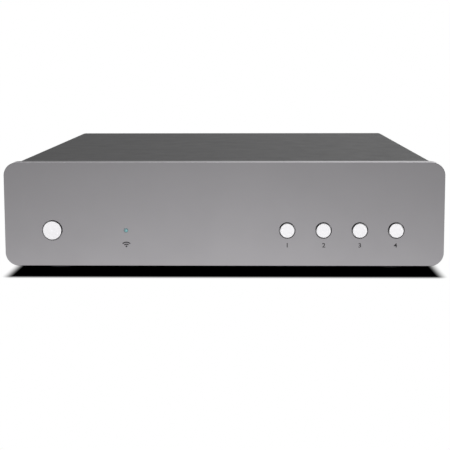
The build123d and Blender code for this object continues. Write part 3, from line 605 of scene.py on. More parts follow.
class Wiring:
    """Adds nodes to a tree and joins them."""

    def __init__(self, tree: Tree) -> None:
        """Work on this tree."""
        self.tree = tree

    def feed(self, node: Node, inputs: Values) -> None:
        """Give each of a node's sockets a value or what another socket puts out.

        Args:
            node: The node.
            inputs: What each socket gets, by its name or number.
        """
        for name, value in inputs.items():
            if isinstance(value, Link):
                self.tree.links.new(value, node.inputs[name])
            else:
                node.inputs[name].default_value = value

    def add(self, kind: str, inputs: Values | None = None, **settings: object) -> Node:
        """Add a node.

        Args:
            kind: The node's type.
            inputs: What each of its sockets gets, which is a value or another node's socket.
            settings: Its own settings.

        Returns:
            The node.
        """
        node = self.tree.nodes.new(kind)
        for name, value in settings.items():
            setattr(node, name, value)
        self.feed(node, inputs or {})
        return node

    def out(self, kind: str, inputs: Values | None = None, **settings: object) -> Link:
        """Add a node and return the first thing that it puts out."""
        return self.add(kind, inputs, **settings).outputs[0]

    def math(self, operation: str, *values: object) -> Link:
        """Add a Math node and return its value."""
        return self.out("ShaderNodeMath", dict(enumerate(values)), operation=operation)

    def vector(self, operation: str, *values: object) -> Link:
        """Add a Vector Math node and return its vector."""
        return self.out("ShaderNodeVectorMath", dict(enumerate(values)), operation=operation)

    def length(self, vector: Link, weights: Sequence[float]) -> Link:
        """Return the length of a vector whose parts are weighted first."""
        weighted = {0: self.vector("MULTIPLY", vector, weights)}
        return self.add("ShaderNodeVectorMath", weighted, operation="LENGTH").outputs["Value"]

    def noise(self, vector: object, scale: object, detail: float = 3.0) -> Link:
        """Add a Noise Texture and return its factor."""
        return self.out("ShaderNodeTexNoise", {"Vector": vector, "Scale": scale, "Detail": detail})

    def span(self, value: object, low: object, high: object, to_low: object, to_high: object) -> Link:
        """Add a Map Range node and return its result."""
        return self.out("ShaderNodeMapRange", {0: value, 1: low, 2: high, 3: to_low, 4: to_high})

    def scaled(self, colour: object, factor: object) -> Link:
        """Multiply a colour by a factor."""
        return self.out("ShaderNodeVectorMath", {"Vector": colour, "Scale": factor}, operation="SCALE")

    def mixed(self, factor: object, first: object, second: object) -> Link:
        """Mix two colours."""
        return self.add("ShaderNodeMix", {0: factor, 6: first, 7: second}, data_type="RGBA").outputs[2]

    def place(self, centre: Sequence[float]) -> Link:
        """Return the piece's own coordinates, centred on a point in millimetres."""
        source = self.add("ShaderNodeTexCoord").outputs["Object"]
        return self.out("ShaderNodeMapping", {"Vector": source, "Location": [-part * MM for part in centre]})

    def group(self, tree: Tree, inputs: Values) -> bpy.types.NodeOutputs:
        """Add a node group and return what it puts out."""
        return self.add("ShaderNodeGroup", inputs, node_tree=tree).outputs


class Group(Wiring):
    """The wiring of a new node group."""

    def __init__(
        self, name: str, inputs: Mapping[str, str | float], outputs: Mapping[str, str],
        kind: str = "ShaderNodeTree",
    ) -> None:
        """Start the group.

        Args:
            name: Its name.
            inputs: The type of each input, or the value that a number starts at.
            outputs: The type of each output.
            kind: The type of tree.
        """
        super().__init__(bpy.data.node_groups.new(name, kind))
        for side, sockets in (("INPUT", inputs), ("OUTPUT", outputs)):
            for title, value in sockets.items():
                typed = isinstance(value, str)
                form = value if typed else FLOAT
                made = self.tree.interface.new_socket(title, in_out=side, socket_type=form)
                if not typed:
                    made.default_value = value
        self.given = self.add("NodeGroupInput").outputs
        self.end = self.add("NodeGroupOutput")

    def ended(self, outputs: Values) -> Tree:
        """Wire what the group puts out and return its tree."""
        self.feed(self.end, outputs)
        return self.tree


class ShapeGroup(Group):
    """The wiring of a tree that makes a mesh and gives it its finish."""

    def __init__(self, name: str, inputs: Mapping[str, str]) -> None:
        """Start the tree with its geometry, these inputs and the finish."""
        sockets = {"Geometry": GEOMETRY, **inputs, "Finish": "NodeSocketMaterial"}
        super().__init__(name, sockets, {"Geometry": GEOMETRY}, "GeometryNodeTree")

    def source(self, name: str) -> Link:
        """Return the geometry of the object in an input."""
        return self.add("GeometryNodeObjectInfo", {"Object": self.given[name]}).outputs["Geometry"]

    def real(self, geometry: Link) -> Link:
        """Turn instances into real geometry."""
        return self.out("GeometryNodeRealizeInstances", {"Geometry": geometry})

    def on_points(self, points: Link, instance: Link, **more: Link) -> Link:
        """Stand an instance on every point."""
        inputs = {"Points": points, "Instance": instance, **more}
        return self.out("GeometryNodeInstanceOnPoints", inputs)

    def row(self) -> Link:
        """Return a row of points round the origin, by the inputs Count and Pitch.

        Returns:
            The points.
        """
        count, pitch = self.given["Count"], self.given["Pitch"]
        half = self.math("MULTIPLY", self.math("SUBTRACT", 1.0, count), 0.5)
        start = self.out("ShaderNodeCombineXYZ", {"X": self.math("MULTIPLY", half, pitch)})
        step = self.out("ShaderNodeCombineXYZ", {"X": pitch})
        return self.out("GeometryNodeMeshLine", {"Count": count, "Start Location": start, "Offset": step})

    def finished(self, geometry: Link) -> Tree:
        """End the tree with real geometry in its finish."""
        inputs = {"Geometry": self.real(geometry), "Material": self.given["Finish"]}
        return self.ended({"Geometry": self.out("GeometryNodeSetMaterial", inputs)})


@cache
def grain_group() -> Tree:
    """Build the grain that every finish shares: cloudy tone, uneven gloss and a fine relief.

    Returns:
        The tree, which is built only once.
    """
    inputs = {
        "Vector": VECTOR, "Colour": COLOUR, "Roughness": 0.5, "Grain": 4000.0, "Tone": 0.05, "Gloss": 0.05,
    }
    group = Group("fine grain", inputs, {"Colour": COLOUR, "Roughness": FLOAT, "Height": FLOAT})
    place, colour, roughness, grain, tone, gloss = list(group.given)[:len(inputs)]
    fine = group.noise(place, grain, 4.0)
    cloud = group.noise(place, CLOUD_SCALE, 3.0)
    darker, lighter = (group.math(way, 1.0, tone) for way in ("SUBTRACT", "ADD"))
    broad, speck = (group.span(noise, *NOISE_RANGE, darker, lighter) for noise in (cloud, fine))
    smoother, rougher = (group.math(way, roughness, gloss) for way in ("SUBTRACT", "ADD"))
    smear = group.noise(place, SMEAR_SCALE, 2.0)
    return group.ended({
        "Colour": group.scaled(colour, group.math("MULTIPLY", broad, speck)),
        "Roughness": group.span(smear, *NOISE_RANGE, smoother, rougher),
        "Height": fine,
    })


@cache
def ring_group() -> Tree:
    """Build the fine rings that turning leaves round an axis along Y.

    Returns:
        The tree, which is built only once.
    """
    group = Group("turned rings", {"Vector": VECTOR, "Scale": 5000.0}, {"Height": FLOAT, "Radius": FLOAT})
    radius = group.length(group.given["Vector"], ACROSS_Y)
    inputs = {"W": radius, "Scale": group.given["Scale"], "Detail": 2.0}
    rings = group.out("ShaderNodeTexNoise", inputs, noise_dimensions="1D")
    return group.ended({"Height": rings, "Radius": radius})


@cache
def spangle_group() -> Tree:
    """Build the crystal pattern of zinc plating, as a value that differs by crystal.

    Returns:
        The tree, which is built only once.
    """
    group = Group("zinc spangle", {"Vector": VECTOR, "Scale": 300.0}, {"Crystal": FLOAT})
    cell = {"Vector": group.given["Vector"], "Scale": group.given["Scale"]}
    crystals = group.add("ShaderNodeTexVoronoi", cell).outputs["Color"]
    return group.ended({"Crystal": group.out("ShaderNodeSeparateColor", {0: crystals})})


@cache
def mould_group() -> Tree:
    """Build the eroded texture of a plastic mould, as a height.

    Returns:
        The tree, which is built only once.
    """
    group = Group("mould texture", {"Vector": VECTOR, "Scale": 2500.0}, {"Height": FLOAT})
    cell = {"Vector": group.given["Vector"], "Scale": group.given["Scale"]}
    cells = group.add("ShaderNodeTexVoronoi", cell, feature="SMOOTH_F1")
    return group.ended({"Height": cells.outputs["Distance"]})


# Finishes


def fed(shader: Node, name: str) -> Link:
    """Return what is wired to a shader's socket."""
    return shader.inputs[name].links[0].from_socket


@dataclass(frozen=True)
class Finish:
    """A finish with a grain: colour, gloss and the size and height of its relief in millimetres."""

    colour: Triple
    roughness: float = 0.5
    metallic: float = 0.0
    specular: float = 0.5
    grain: float = 0.3
    relief: float = 0.003
    tone: float = 0.04
    gloss: float = 0.04

    def material(self, name: str, centre: Sequence[float] = (0, 0, 0)) -> Material:
        """Build the material, or return the one built before.

        Args:
            name: The material's name.
            centre: The point that its pattern is centred on, in millimetres.

        Returns:
            The material.
        """
        if name in bpy.data.materials:
            return bpy.data.materials[name]
        made = bpy.data.materials.new(name)
        made.use_nodes = True
        made.diffuse_color = (*self.colour, 1.0)
        wiring = Wiring(made.node_tree)
        shader = made.node_tree.nodes["Principled BSDF"]
        wiring.feed(shader, {"Metallic": self.metallic, "Specular IOR Level": self.specular})
        self.dress(wiring, shader, wiring.place(centre))
        return made

    def dress(self, wiring: Wiring, shader: Node, place: Link, height: Link | None = None) -> None:
        """Wire the grain to the shader.

        Args:
            wiring: The material's wiring.
            shader: Its shader.
            place: The coordinates of the pattern.
            height: The relief, where it isn't the grain's own.
        """
        grain = wiring.group(grain_group(), {
            "Vector": place, "Colour": (*self.colour, 1.0), "Roughness": self.roughness,
            "Grain": 1.0 / (self.grain * MM), "Tone": self.tone, "Gloss": self.gloss,
        })
        relief = {"Height": height or grain["Height"], "Distance": self.relief * MM}
        wiring.feed(shader, {
            "Base Color": grain["Colour"], "Roughness": grain["Roughness"],
            "Normal": wiring.out("ShaderNodeBump", relief),
        })


@dataclass(frozen=True)
class MouldedFinish(Finish):
    """A moulded plastic with the texture of its mould."""

    cell: float = 0.4

    def dress(self, wiring: Wiring, shader: Node, place: Link, height: Link | None = None) -> None:
        """Add the mould's texture to the grain.

        Args:
            wiring: The material's wiring.
            shader: Its shader.
            place: The coordinates of the pattern.
            height: The relief, where it isn't the grain's own.
        """
        super().dress(wiring, shader, place, height)
        mould = wiring.group(mould_group(), {"Vector": place, "Scale": 1.0 / (self.cell * MM)})
        texture = {"Height": mould["Height"], "Distance": 2 * self.relief * MM}
        wiring.feed(fed(shader, "Normal").node, {"Normal": wiring.out("ShaderNodeBump", texture)})


@dataclass(frozen=True)
class TurnedFinish(Finish):
    """A face turned round an axis along Y, with fine rings and a rim of bare polished metal."""

    ring: float = 0.12
    rim_radius: float = 4.0
    rim_width: float = 0.23
    rim_fade: float = 0.1
    rim_tone: float = 0.6
    rim_gloss: float = -0.12

    def dress(self, wiring: Wiring, shader: Node, place: Link, height: Link | None = None) -> None:
        """Add the rings to the grain, and polish the rim.

        Args:
            wiring: The material's wiring.
            shader: Its shader.
            place: The coordinates of the pattern.
            height: The relief, where it isn't the grain's own.
        """
        rings = wiring.group(ring_group(), {"Vector": place, "Scale": 1.0 / (self.ring * MM)})
        super().dress(wiring, shader, place, rings["Height"])
        inner, half_fade = (self.rim_radius - self.rim_width) * MM, self.rim_fade / 2 * MM
        rim = wiring.span(rings["Radius"], inner - half_fade, inner + half_fade, 0.0, 1.0)
        darker = wiring.span(rim, 0.0, 1.0, 1.0, self.rim_tone)
        wiring.feed(shader, {
            "Base Color": wiring.scaled(fed(shader, "Base Color"), darker),
            "Metallic": wiring.span(rim, 0.0, 1.0, self.metallic, 1.0),
            "Roughness": wiring.math("MULTIPLY_ADD", rim, self.rim_gloss, fed(shader, "Roughness")),
        })


@dataclass(frozen=True)
class SpangleFinish(Finish):
    """Zinc-plated sheet, whose crystals differ in tone and gloss."""

    crystal: float = 4.0
    crystal_tones: Pair = (0.9, 1.08)
    crystal_gloss: float = 0.12

    def dress(self, wiring: Wiring, shader: Node, place: Link, height: Link | None = None) -> None:
        """Lay the crystals over the grain.

        Args:
            wiring: The material's wiring.
            shader: Its shader.
            place: The coordinates of the pattern.
            height: The relief, where it isn't the grain's own.
        """
        super().dress(wiring, shader, place, height)
        inputs = {"Vector": place, "Scale": 1.0 / (self.crystal * MM)}
        crystal = wiring.group(spangle_group(), inputs)["Crystal"]
        tone = wiring.span(crystal, 0.0, 1.0, *self.crystal_tones)
        duller = wiring.math("MULTIPLY_ADD", crystal, self.crystal_gloss, fed(shader, "Roughness"))
        colour = wiring.scaled(fed(shader, "Base Color"), tone)
        wiring.feed(shader, {"Base Color": colour, "Roughness": duller})


@dataclass(frozen=True)
class BoardFinish(Finish):
    """A circuit board: solder mask over copper runs, with tinned pads."""

    track: float = 1.6
    gap: float = 0.03
    pad_radius: float = 0.16
    run_colour: Triple = (0.045, 0.2, 0.09)
    pad_colour: Triple = (0.6, 0.6, 0.58)

    def dress(self, wiring: Wiring, shader: Node, place: Link, height: Link | None = None) -> None:
        """Draw the copper under the mask, and the bare pads.

        Args:
            wiring: The material's wiring.
            shader: Its shader.
            place: The coordinates of the pattern.
            height: The relief, where it isn't the grain's own.
        """
        super().dress(wiring, shader, place, height)
        runs = {"Vector": place, "Scale": 1.0 / (8 * self.track * MM), "Mortar Size": self.gap}
        bricks = wiring.add("ShaderNodeTexBrick", runs, offset_frequency=3).outputs["Fac"]
        copper = wiring.mixed(bricks, fed(shader, "Base Color"), (*self.run_colour, 1.0))
        dots = {"Vector": place, "Scale": 1.0 / (2.5 * self.track * MM)}
        away = wiring.add("ShaderNodeTexVoronoi", dots).outputs["Distance"]
        pad = wiring.math("LESS_THAN", away, self.pad_radius)
        tinned = wiring.mixed(pad, copper, (*self.pad_colour, 1.0))
        wiring.feed(shader, {"Base Color": tinned, "Metallic": pad})


@dataclass(frozen=True)
class LitFinish(Finish):
    """A clear pipe lit from behind, brightest beside its middle."""

    glow: Triple = (0.12, 0.5, 0.5)
    strength: float = 1.0
    reach: float = 1.3
    far_glow: float = 0.05
    falloff: float = 1.6
    ripple_scale: float = 1500.0
    ripple: float = 0.25

    def dress(self, wiring: Wiring, shader: Node, place: Link, height: Link | None = None) -> None:
        """Add a glow that fades from its bright spot.

        Args:
            wiring: The material's wiring.
            shader: Its shader.
            place: The coordinates of the pattern.
            height: The relief, where it isn't the grain's own.
        """
        super().dress(wiring, shader, place, height)
        away, ripple = wiring.length(place, ACROSS_Y), wiring.noise(place, self.ripple_scale, 2.0)
        distance = wiring.math("MULTIPLY_ADD", ripple, self.ripple * MM, away)
        fade = wiring.span(distance, 0.0, self.reach * MM, 1.0, self.far_glow)
        glow = wiring.scaled(self.glow, wiring.math("POWER", fade, self.falloff))
        wiring.feed(shader, {"Emission Color": glow, "Emission Strength": self.strength})


@dataclass(frozen=True)
class ClearFinish(Finish):
    """A clear or tinted plastic or glass that light goes through."""

    transmission: float = 0.7

    def dress(self, wiring: Wiring, shader: Node, place: Link, height: Link | None = None) -> None:
        """Let light through the grain's colour."""
        super().dress(wiring, shader, place, height)
        wiring.feed(shader, {"Transmission Weight": self.transmission})


FINISHES: dict[str, Finish] = {
    "fascia": Finish((0.475, 0.462, 0.48), 0.4, 1.0, grain=0.16, relief=0.004, tone=0.015, gloss=0.015),
    "button_metal": TurnedFinish((0.915, 0.905, 0.925), 0.38, 0.1, relief=0.002, tone=0.008),
    "cover_paint": Finish((0.092, 0.092, 0.093), 0.62, specular=0.17, grain=0.35, relief=0.006, tone=0.02),
    "rear_paint": Finish((0.1, 0.1, 0.103), 0.6, specular=0.25, grain=0.35, relief=0.006, tone=0.02),
    "tray_steel": SpangleFinish((0.3, 0.308, 0.315), 0.42, 1.0, relief=0.002, tone=0.03),
    "screw_black": Finish((0.035, 0.035, 0.037), 0.42, 0.5, relief=0.003, tone=0.15, gloss=0.08),
    "screw_steel": Finish((0.56, 0.56, 0.57), 0.3, 1.0, relief=0.002, tone=0.06, gloss=0.06),
    "foot_rubber": MouldedFinish((0.018, 0.018, 0.019), 0.78, specular=0.3, relief=0.008, tone=0.12),
    "switch_black": MouldedFinish((0.025, 0.025, 0.027), 0.5, relief=0.004, tone=0.08),
    "plunger_white": MouldedFinish((0.72, 0.7, 0.66), 0.42, relief=0.002, tone=0.02),
    "board_green": BoardFinish((0.02, 0.11, 0.05), 0.32, relief=0.004, tone=0.08),
    "connector_cream": MouldedFinish((0.62, 0.57, 0.46), 0.48, relief=0.003, tone=0.03),
    "chip_black": MouldedFinish((0.022, 0.022, 0.024), 0.55, relief=0.004, tone=0.1, cell=0.2),
    "ribbon_grey": Finish((0.3, 0.31, 0.33), 0.4, grain=1.27, relief=0.05, tone=0.04),
    "lead_grey": Finish((0.12, 0.12, 0.13), 0.45, relief=0.004, tone=0.06),
    "light_clear": LitFinish((0.15, 0.23, 0.25), 0.2, relief=0.001, tone=0.02, strength=0.72),
    "led_white": ClearFinish((0.7, 0.72, 0.68), 0.2, relief=0.001, transmission=0.3),
    "plated_steel": Finish((0.62, 0.62, 0.63), 0.22, 1.0, grain=0.5, relief=0.0015, tone=0.04, gloss=0.06),
    "gold_plate": Finish((0.83, 0.58, 0.22), 0.2, 1.0, grain=0.4, relief=0.001, tone=0.04, gloss=0.05),
    "socket_black": MouldedFinish((0.024, 0.024, 0.026), 0.46, relief=0.004, tone=0.08),
    "insert_white": MouldedFinish((0.76, 0.76, 0.74), 0.36, relief=0.002, tone=0.02),
    "insert_red": MouldedFinish((0.5, 0.018, 0.018), 0.36, relief=0.002, tone=0.04),
    "insert_orange": MouldedFinish((0.72, 0.2, 0.02), 0.36, relief=0.002, tone=0.04),
    "tongue_blue": MouldedFinish((0.022, 0.022, 0.026), 0.4, relief=0.002, tone=0.08),
    "emitter_red": ClearFinish((0.5, 0.03, 0.03), 0.15, relief=0.001, tone=0.02),
    "can_black": Finish((0.03, 0.035, 0.05), 0.22, grain=0.8, relief=0.003, tone=0.06),
    "shield_tin": Finish((0.6, 0.6, 0.59), 0.32, 1.0, grain=0.6, relief=0.002, tone=0.05, gloss=0.08),
    "sink_black": Finish((0.045, 0.045, 0.048), 0.45, 0.8, relief=0.003, tone=0.08),
    "core_ferrite": Finish((0.07, 0.068, 0.066), 0.6, grain=0.5, relief=0.012, tone=0.1),
    "winding_tape": Finish((0.72, 0.5, 0.06), 0.3, grain=1.0, relief=0.01, tone=0.04),
    "fuse_glass": ClearFinish((0.6, 0.61, 0.6), 0.1, relief=0.001, transmission=0.5),
}
PRINT = Finish((0.024, 0.022, 0.024), 0.55, specular=0.3, grain=0.12, relief=0.003, tone=0.12)


def finish_of(slot: str) -> Material:
    """Return the material of a slot of the record."""
    return FINISHES[slot].material(f"{slot}_finish")


# Shapes that repeat


@dataclass(frozen=True)
class PanScrew:
    """A cross-recessed pan-head screw, with a head one wide and one high before it is sized."""

    shank: float = 0.27
    shank_length: float = 2.6
    land: float = 0.3
    dome: float = 0.58
    recess: Four = (0.27, 0.06, 0.45, 0.02)
    size: Pair = (5.5, 1.9)

    def shape(self, name: str) -> Object:
        """Build the screw with its head on the plane z = 0 and its shank below.

        Args:
            name: The shape's name.

        Returns:
            The shape, which a node tree sizes.
        """
        shell, seat = Shell(name), Seat(facing=Facing.UP)
        end, flat = -self.shank_length, 0.5 - self.land
        stations = [
            (end, 0.2), (end + 0.15, self.shank), (0.0, self.shank), (0.0, 0.49), (0.03, 0.5),
            (1.0 - self.dome, 0.5), *rounded_end(1.0, self.dome, flat, 8, self.land),
        ]
        circles = [(depth, Rounded.circle(0, 0, radius).points()) for depth, radius in stations]
        rings = shell.loft([shell.ring(seat, points, depth) for depth, points in circles])
        reach, half_width, floor, taper = self.recess
        walls = shell.tube(seat, Cross(reach, half_width), [(1.0, 0.0), (floor, taper)])
        shell.cap(rings[0])
        shell.fill(rings[-1], walls[0])
        shell.cap(walls[-1])
        return shell.loose(scale=1.0)


@cache
def repeat_tree() -> Tree:
    """Build the tree that stands a piece on every place, turned the way the place faces.

    Returns:
        The tree, which is built only once.
    """
    group = ShapeGroup("repeat on places", {"Piece": SHAPE, "Diameter": FLOAT, "Height": FLOAT})
    facing = group.out("GeometryNodeInputNamedAttribute", {"Name": "facing"}, data_type="FLOAT_VECTOR")
    turn = group.out("FunctionNodeAlignRotationToVector", {"Vector": facing}, axis="Z")
    wide, high = group.given["Diameter"], group.given["Height"]
    scale = group.out("ShaderNodeCombineXYZ", {"X": wide, "Y": wide, "Z": high})
    places = group.given["Geometry"]
    return group.finished(group.on_points(places, group.source("Piece"), Rotation=turn, Scale=scale))


@cache
def slot_tree() -> Tree:
    """Build the tree that cuts a row of slots round every group's middle.

    Returns:
        The tree, which is built only once.
    """
    inputs = {"Groups": SHAPE, "Cutter": SHAPE, "Count": WHOLE, "Pitch": FLOAT}
    group = ShapeGroup("rows of slots", inputs)
    places = group.real(group.on_points(group.source("Groups"), group.row()))
    tools = group.real(group.on_points(places, group.source("Cutter")))
    solids = {0: group.given["Geometry"], 1: tools}
    return group.finished(
        group.out("GeometryNodeMeshBoolean", solids, operation="DIFFERENCE", solver="EXACT")
    )


@cache
def wire_tree() -> Tree:
    """Build the tree that gives a bent path its section and repeats it in a row.

    Returns:
        The tree, which is built only once.
    """
    inputs = {"Path": SHAPE, "Width": FLOAT, "Thickness": FLOAT, "Count": WHOLE, "Pitch": FLOAT}
    group = ShapeGroup("row of wires", inputs)
    sides = {"Width": group.given["Width"], "Height": group.given["Thickness"]}
    section = group.out("GeometryNodeCurvePrimitiveQuadrilateral", sides)
    swept = {"Curve": group.source("Path"), "Profile Curve": section, "Fill Caps": True}
    wire = group.out("GeometryNodeCurveToMesh", swept)
    return group.finished(group.on_points(group.row(), wire))


def grown(made: Object, tree: Tree, slot: str, values: Mapping[str, object]) -> Object:
    """Run a node tree on an object and keep the result as a plain mesh.

    Args:
        made: The object.
        tree: The tree.
        slot: The slot whose finish it gets.
        values: The tree's other inputs, by name.

    Returns:
        The same object, with no modifier.
    """
    modifier = made.modifiers.new(tree.name, "NODES")
    modifier.node_group = tree
    values = {**values, "Finish": finish_of(slot)}
    for item in tree.interface.items_tree:
        if item.in_out == "INPUT" and item.name in values:
            modifier[item.identifier] = values[item.name]
    applied(made)
    for value in values.values():
        if isinstance(value, Object):
            bpy.data.objects.remove(value)
    return made


def point_cloud(
    name: str, places: Sequence[Sequence[float]], facings: Sequence[Sequence[float]] = ()
) -> Object:
    """Make an object of loose points, in metres from millimetres.

    Args:
        name: Its name.
        places: The points.
        facings: The way each point faces, where that matters.

    Returns:
        The object.
    """
    data = bpy.data.meshes.new(name)
    data.from_pydata([[value * MM for value in place] for place in places], [], [])
    if facings:
        attribute = data.attributes.new("facing", "FLOAT_VECTOR", "POINT")
        for item, facing in zip(attribute.data, facings):
            item.vector = facing
    return linked(name, data)


def stood(
    name: str, shape: Object, size: Pair, spots: Mapping[Triple, Sequence[float]], slot: str, *replaces: str
) -> Object:
    """Stand a shape on every spot.

    Args:
        name: The piece's name.
        shape: A shape one wide and one high.
        size: Its real diameter and height.
        spots: The way the shape faces at each place.
        slot: The record's slot that its finish comes from.
        replaces: The CAD nodes that it stands for.

    Returns:
        The finished piece.
    """
    made = point_cloud(name, list(spots), list(spots.values()))
    values = {"Piece": shape, "Diameter": size[0] * MM, "Height": size[1] * MM}
    return settled(grown(made, repeat_tree(), slot, values), slot, *replaces)


@dataclass(frozen=True)
class SlotRows:
    """Rows of round-ended vent slots."""

    width: float
    length: float
    pitch: float
    count: int

    def cut(self, plate: Object, middles: Sequence[Sequence[float]], facing: Facing, slot: str) -> Object:
        """Cut a row through a plate round each middle.

        Args:
            plate: The plate.
            middles: The middle of each row.
            facing: The way through the plate.
            slot: The slot of the plate's finish.

        Returns:
            The plate.
        """
        cutter = Shell("slot_cutter")
        outline = Rounded.centred(0, 0, self.width, self.length, self.width / 2)
        cutter.closed_tube(Seat(facing=facing), outline, -2.0, 2.0)
        return grown(plate, slot_tree(), slot, {
            "Groups": point_cloud("slot_groups", middles), "Cutter": cutter.loose(),
            "Count": self.count, "Pitch": self.pitch * MM,
        })


# Case


@dataclass(frozen=True)
class ButtonPlace:
    """A front button: its name, its place along the panel, its diameter and its polished rim."""

    name: str
    x: float
    diameter: float
    rim: float = 0.23


@dataclass(frozen=True)
class FrontLayout:
    """Places on the front panel that several pieces share."""

    button_z: float = 22.8
    light_x: float = -48.0
    light_diameter: float = 2.0
    gap: float = 0.4
    flange_extra: float = 0.9
    pocket_gap: float = 0.5
    stem: float = 4.0
    buttons: tuple[ButtonPlace, ...] = (
        ButtonPlace("power_button", -84.1, 9.1, 0.07),
        ButtonPlace("preset_button_1", 31.0, 7.2),
        ButtonPlace("preset_button_2", 48.7, 7.2),
        ButtonPlace("preset_button_3", 66.4, 7.2),
        ButtonPlace("preset_button_4", 84.1, 7.2),
    )
    screw_xs: tuple[float, ...] = (-92.97, -28.924, 28.924, 92.97)
    screw_z: float = 47.3


@dataclass(frozen=True)
class RearLayout:
    """Places on the rear panel that several pieces share."""

    phono_z: float = 23.7
    phono_xs: Triple = (40.25, 66.99, 80.99)
    aerial_x: float = 90.904
    aerial_z: float = 38.95
    tab_xs: Triple = (-64.046, 0.0, 64.046)


FRONT = FrontLayout()
REAR = RearLayout()


@dataclass(frozen=True)
class Fascia:
    """The thick aluminium front panel, with its button holes and the pockets behind them."""

    corner: float = 6.6
    bevel: float = 0.3
    land: float = 3.0
    hole_edge: float = 0.12
    light_gap: float = 0.05
    light_flange: float = 4.5
    pocket_corner: float = 0.6
    light_corner: float = 0.3
    screw_radius: float = 1.55
    screw_depth: float = 3.7

    def build(self) -> list[Object]:
        """Build the panel from its back plane forwards.

        Returns:
            The panel.
        """
        box = Span.of("front_panel")
        depth, extra = box.size.y, 2 * (FRONT.flange_extra + FRONT.pocket_gap)
        bores = [
            self.opening(
                depth, place.x, place.diameter / 2 + FRONT.gap, place.diameter + extra, self.pocket_corner
            )
            for place in FRONT.buttons
        ]
        light = FRONT.light_diameter / 2 + self.light_gap
        bores.append(self.opening(depth, FRONT.light_x, light, self.light_flange, self.light_corner))
        screws = [
            [(Rounded.circle(x, FRONT.screw_z, self.screw_radius, 6), self.screw_depth)]
            for x in FRONT.screw_xs
        ]
        shell, seat = Shell("fascia"), Seat(y=box.high.y, facing=Facing.FRONT)
        outline = Rounded.around(box, 0.0, self.corner, self.corner, 16)
        shell.solid(seat, outline, 0.0, depth, bores, screws, self.hole_edge, self.bevel)
        return [shell.piece("fascia", "front_panel")]

    def opening(self, depth: float, x: float, radius: float, side: float, bend: float) -> Steps:
        """Return a round hole in the panel's face and the square pocket behind it."""
        pocket = Rounded.centred(x, FRONT.button_z, side, side, bend)
        return [(Rounded.circle(x, FRONT.button_z, radius), depth - self.land), (pocket, 0.0)]


@dataclass(frozen=True)
class Markings:
    """The printed wireless symbol and the digits under the preset buttons."""

    thickness: float = 0.02
    symbol_x: float = -47.82
    dot_z: float = 14.85
    dot_radius: float = 0.44
    arc_drop: float = 0.52
    arcs: tuple[Pair, ...] = ((1.57, 35.0), (2.57, 41.0))
    stroke: float = 0.54
    digit_z: float = 15.45
    digit_height: float = 2.15
    embolden: float = 0.012
    extrude: float = 0.01
    widen: float = 1.12
    digit_shifts: tuple[float, ...] = (0.0, 0.15, 0.0, -0.3)

    def build(self) -> list[Object]:
        """Build the symbol and the four digits on the panel's face.

        Returns:
            The symbol and the digits.
        """
        face = Span.of("front_panel").low.y
        print_grey = PRINT.material("print_grey")
        symbol, seat = Shell("wireless_symbol"), Seat(self.symbol_x, face, self.dot_z, Facing.FRONT)
        outlines: list[Outline] = [Rounded.circle(0, 0, self.dot_radius, 6)]
        for radius, half_angle in self.arcs:
            outlines.append(ArcBand(-self.arc_drop, radius, math.radians(half_angle), self.stroke))
        for outline in outlines:
            symbol.closed_tube(seat, outline, 0.0, self.thickness)
        made = [symbol.piece("screw_black", finish=print_grey)]
        for number, (button, shift) in enumerate(zip(FRONT.buttons[1:], self.digit_shifts), start=1):
            digit = self.digit(number, button.x + shift, face)
            made.append(digit.piece("screw_black", finish=print_grey))
        return made

    def digit(self, number: int, x: float, face: float) -> Shell:
        """Build one digit.

        Args:
            number: The digit.
            x: The middle of the digit.
            face: The plane that it is printed on.

        Returns:
            Its mesh.
        """
        letter = bpy.data.curves.new("letter", "FONT")
        letter.body = str(number)
        letter.offset = self.embolden
        letter.extrude = self.extrude
        source = linked("letter", letter)
        shell = Shell(f"digit_{number}")
        shell.mesh.from_mesh(evaluated(source))
        bpy.data.objects.remove(source)
        xs, ys, zs = zip(*(vertex.co for vertex in shell.mesh.verts))
        scale = self.digit_height / (max(ys) - min(ys))
        middle_x, middle_y, low = (max(xs) + min(xs)) / 2, (max(ys) + min(ys)) / 2, min(zs)
        for vertex in shell.mesh.verts:
            across, up, out = vertex.co
            vertex.co = (
                x + (across - middle_x) * scale * self.widen,
                face - min((out - low) * scale, self.thickness),
                self.digit_z + (up - middle_y) * scale,
            )
        return shell


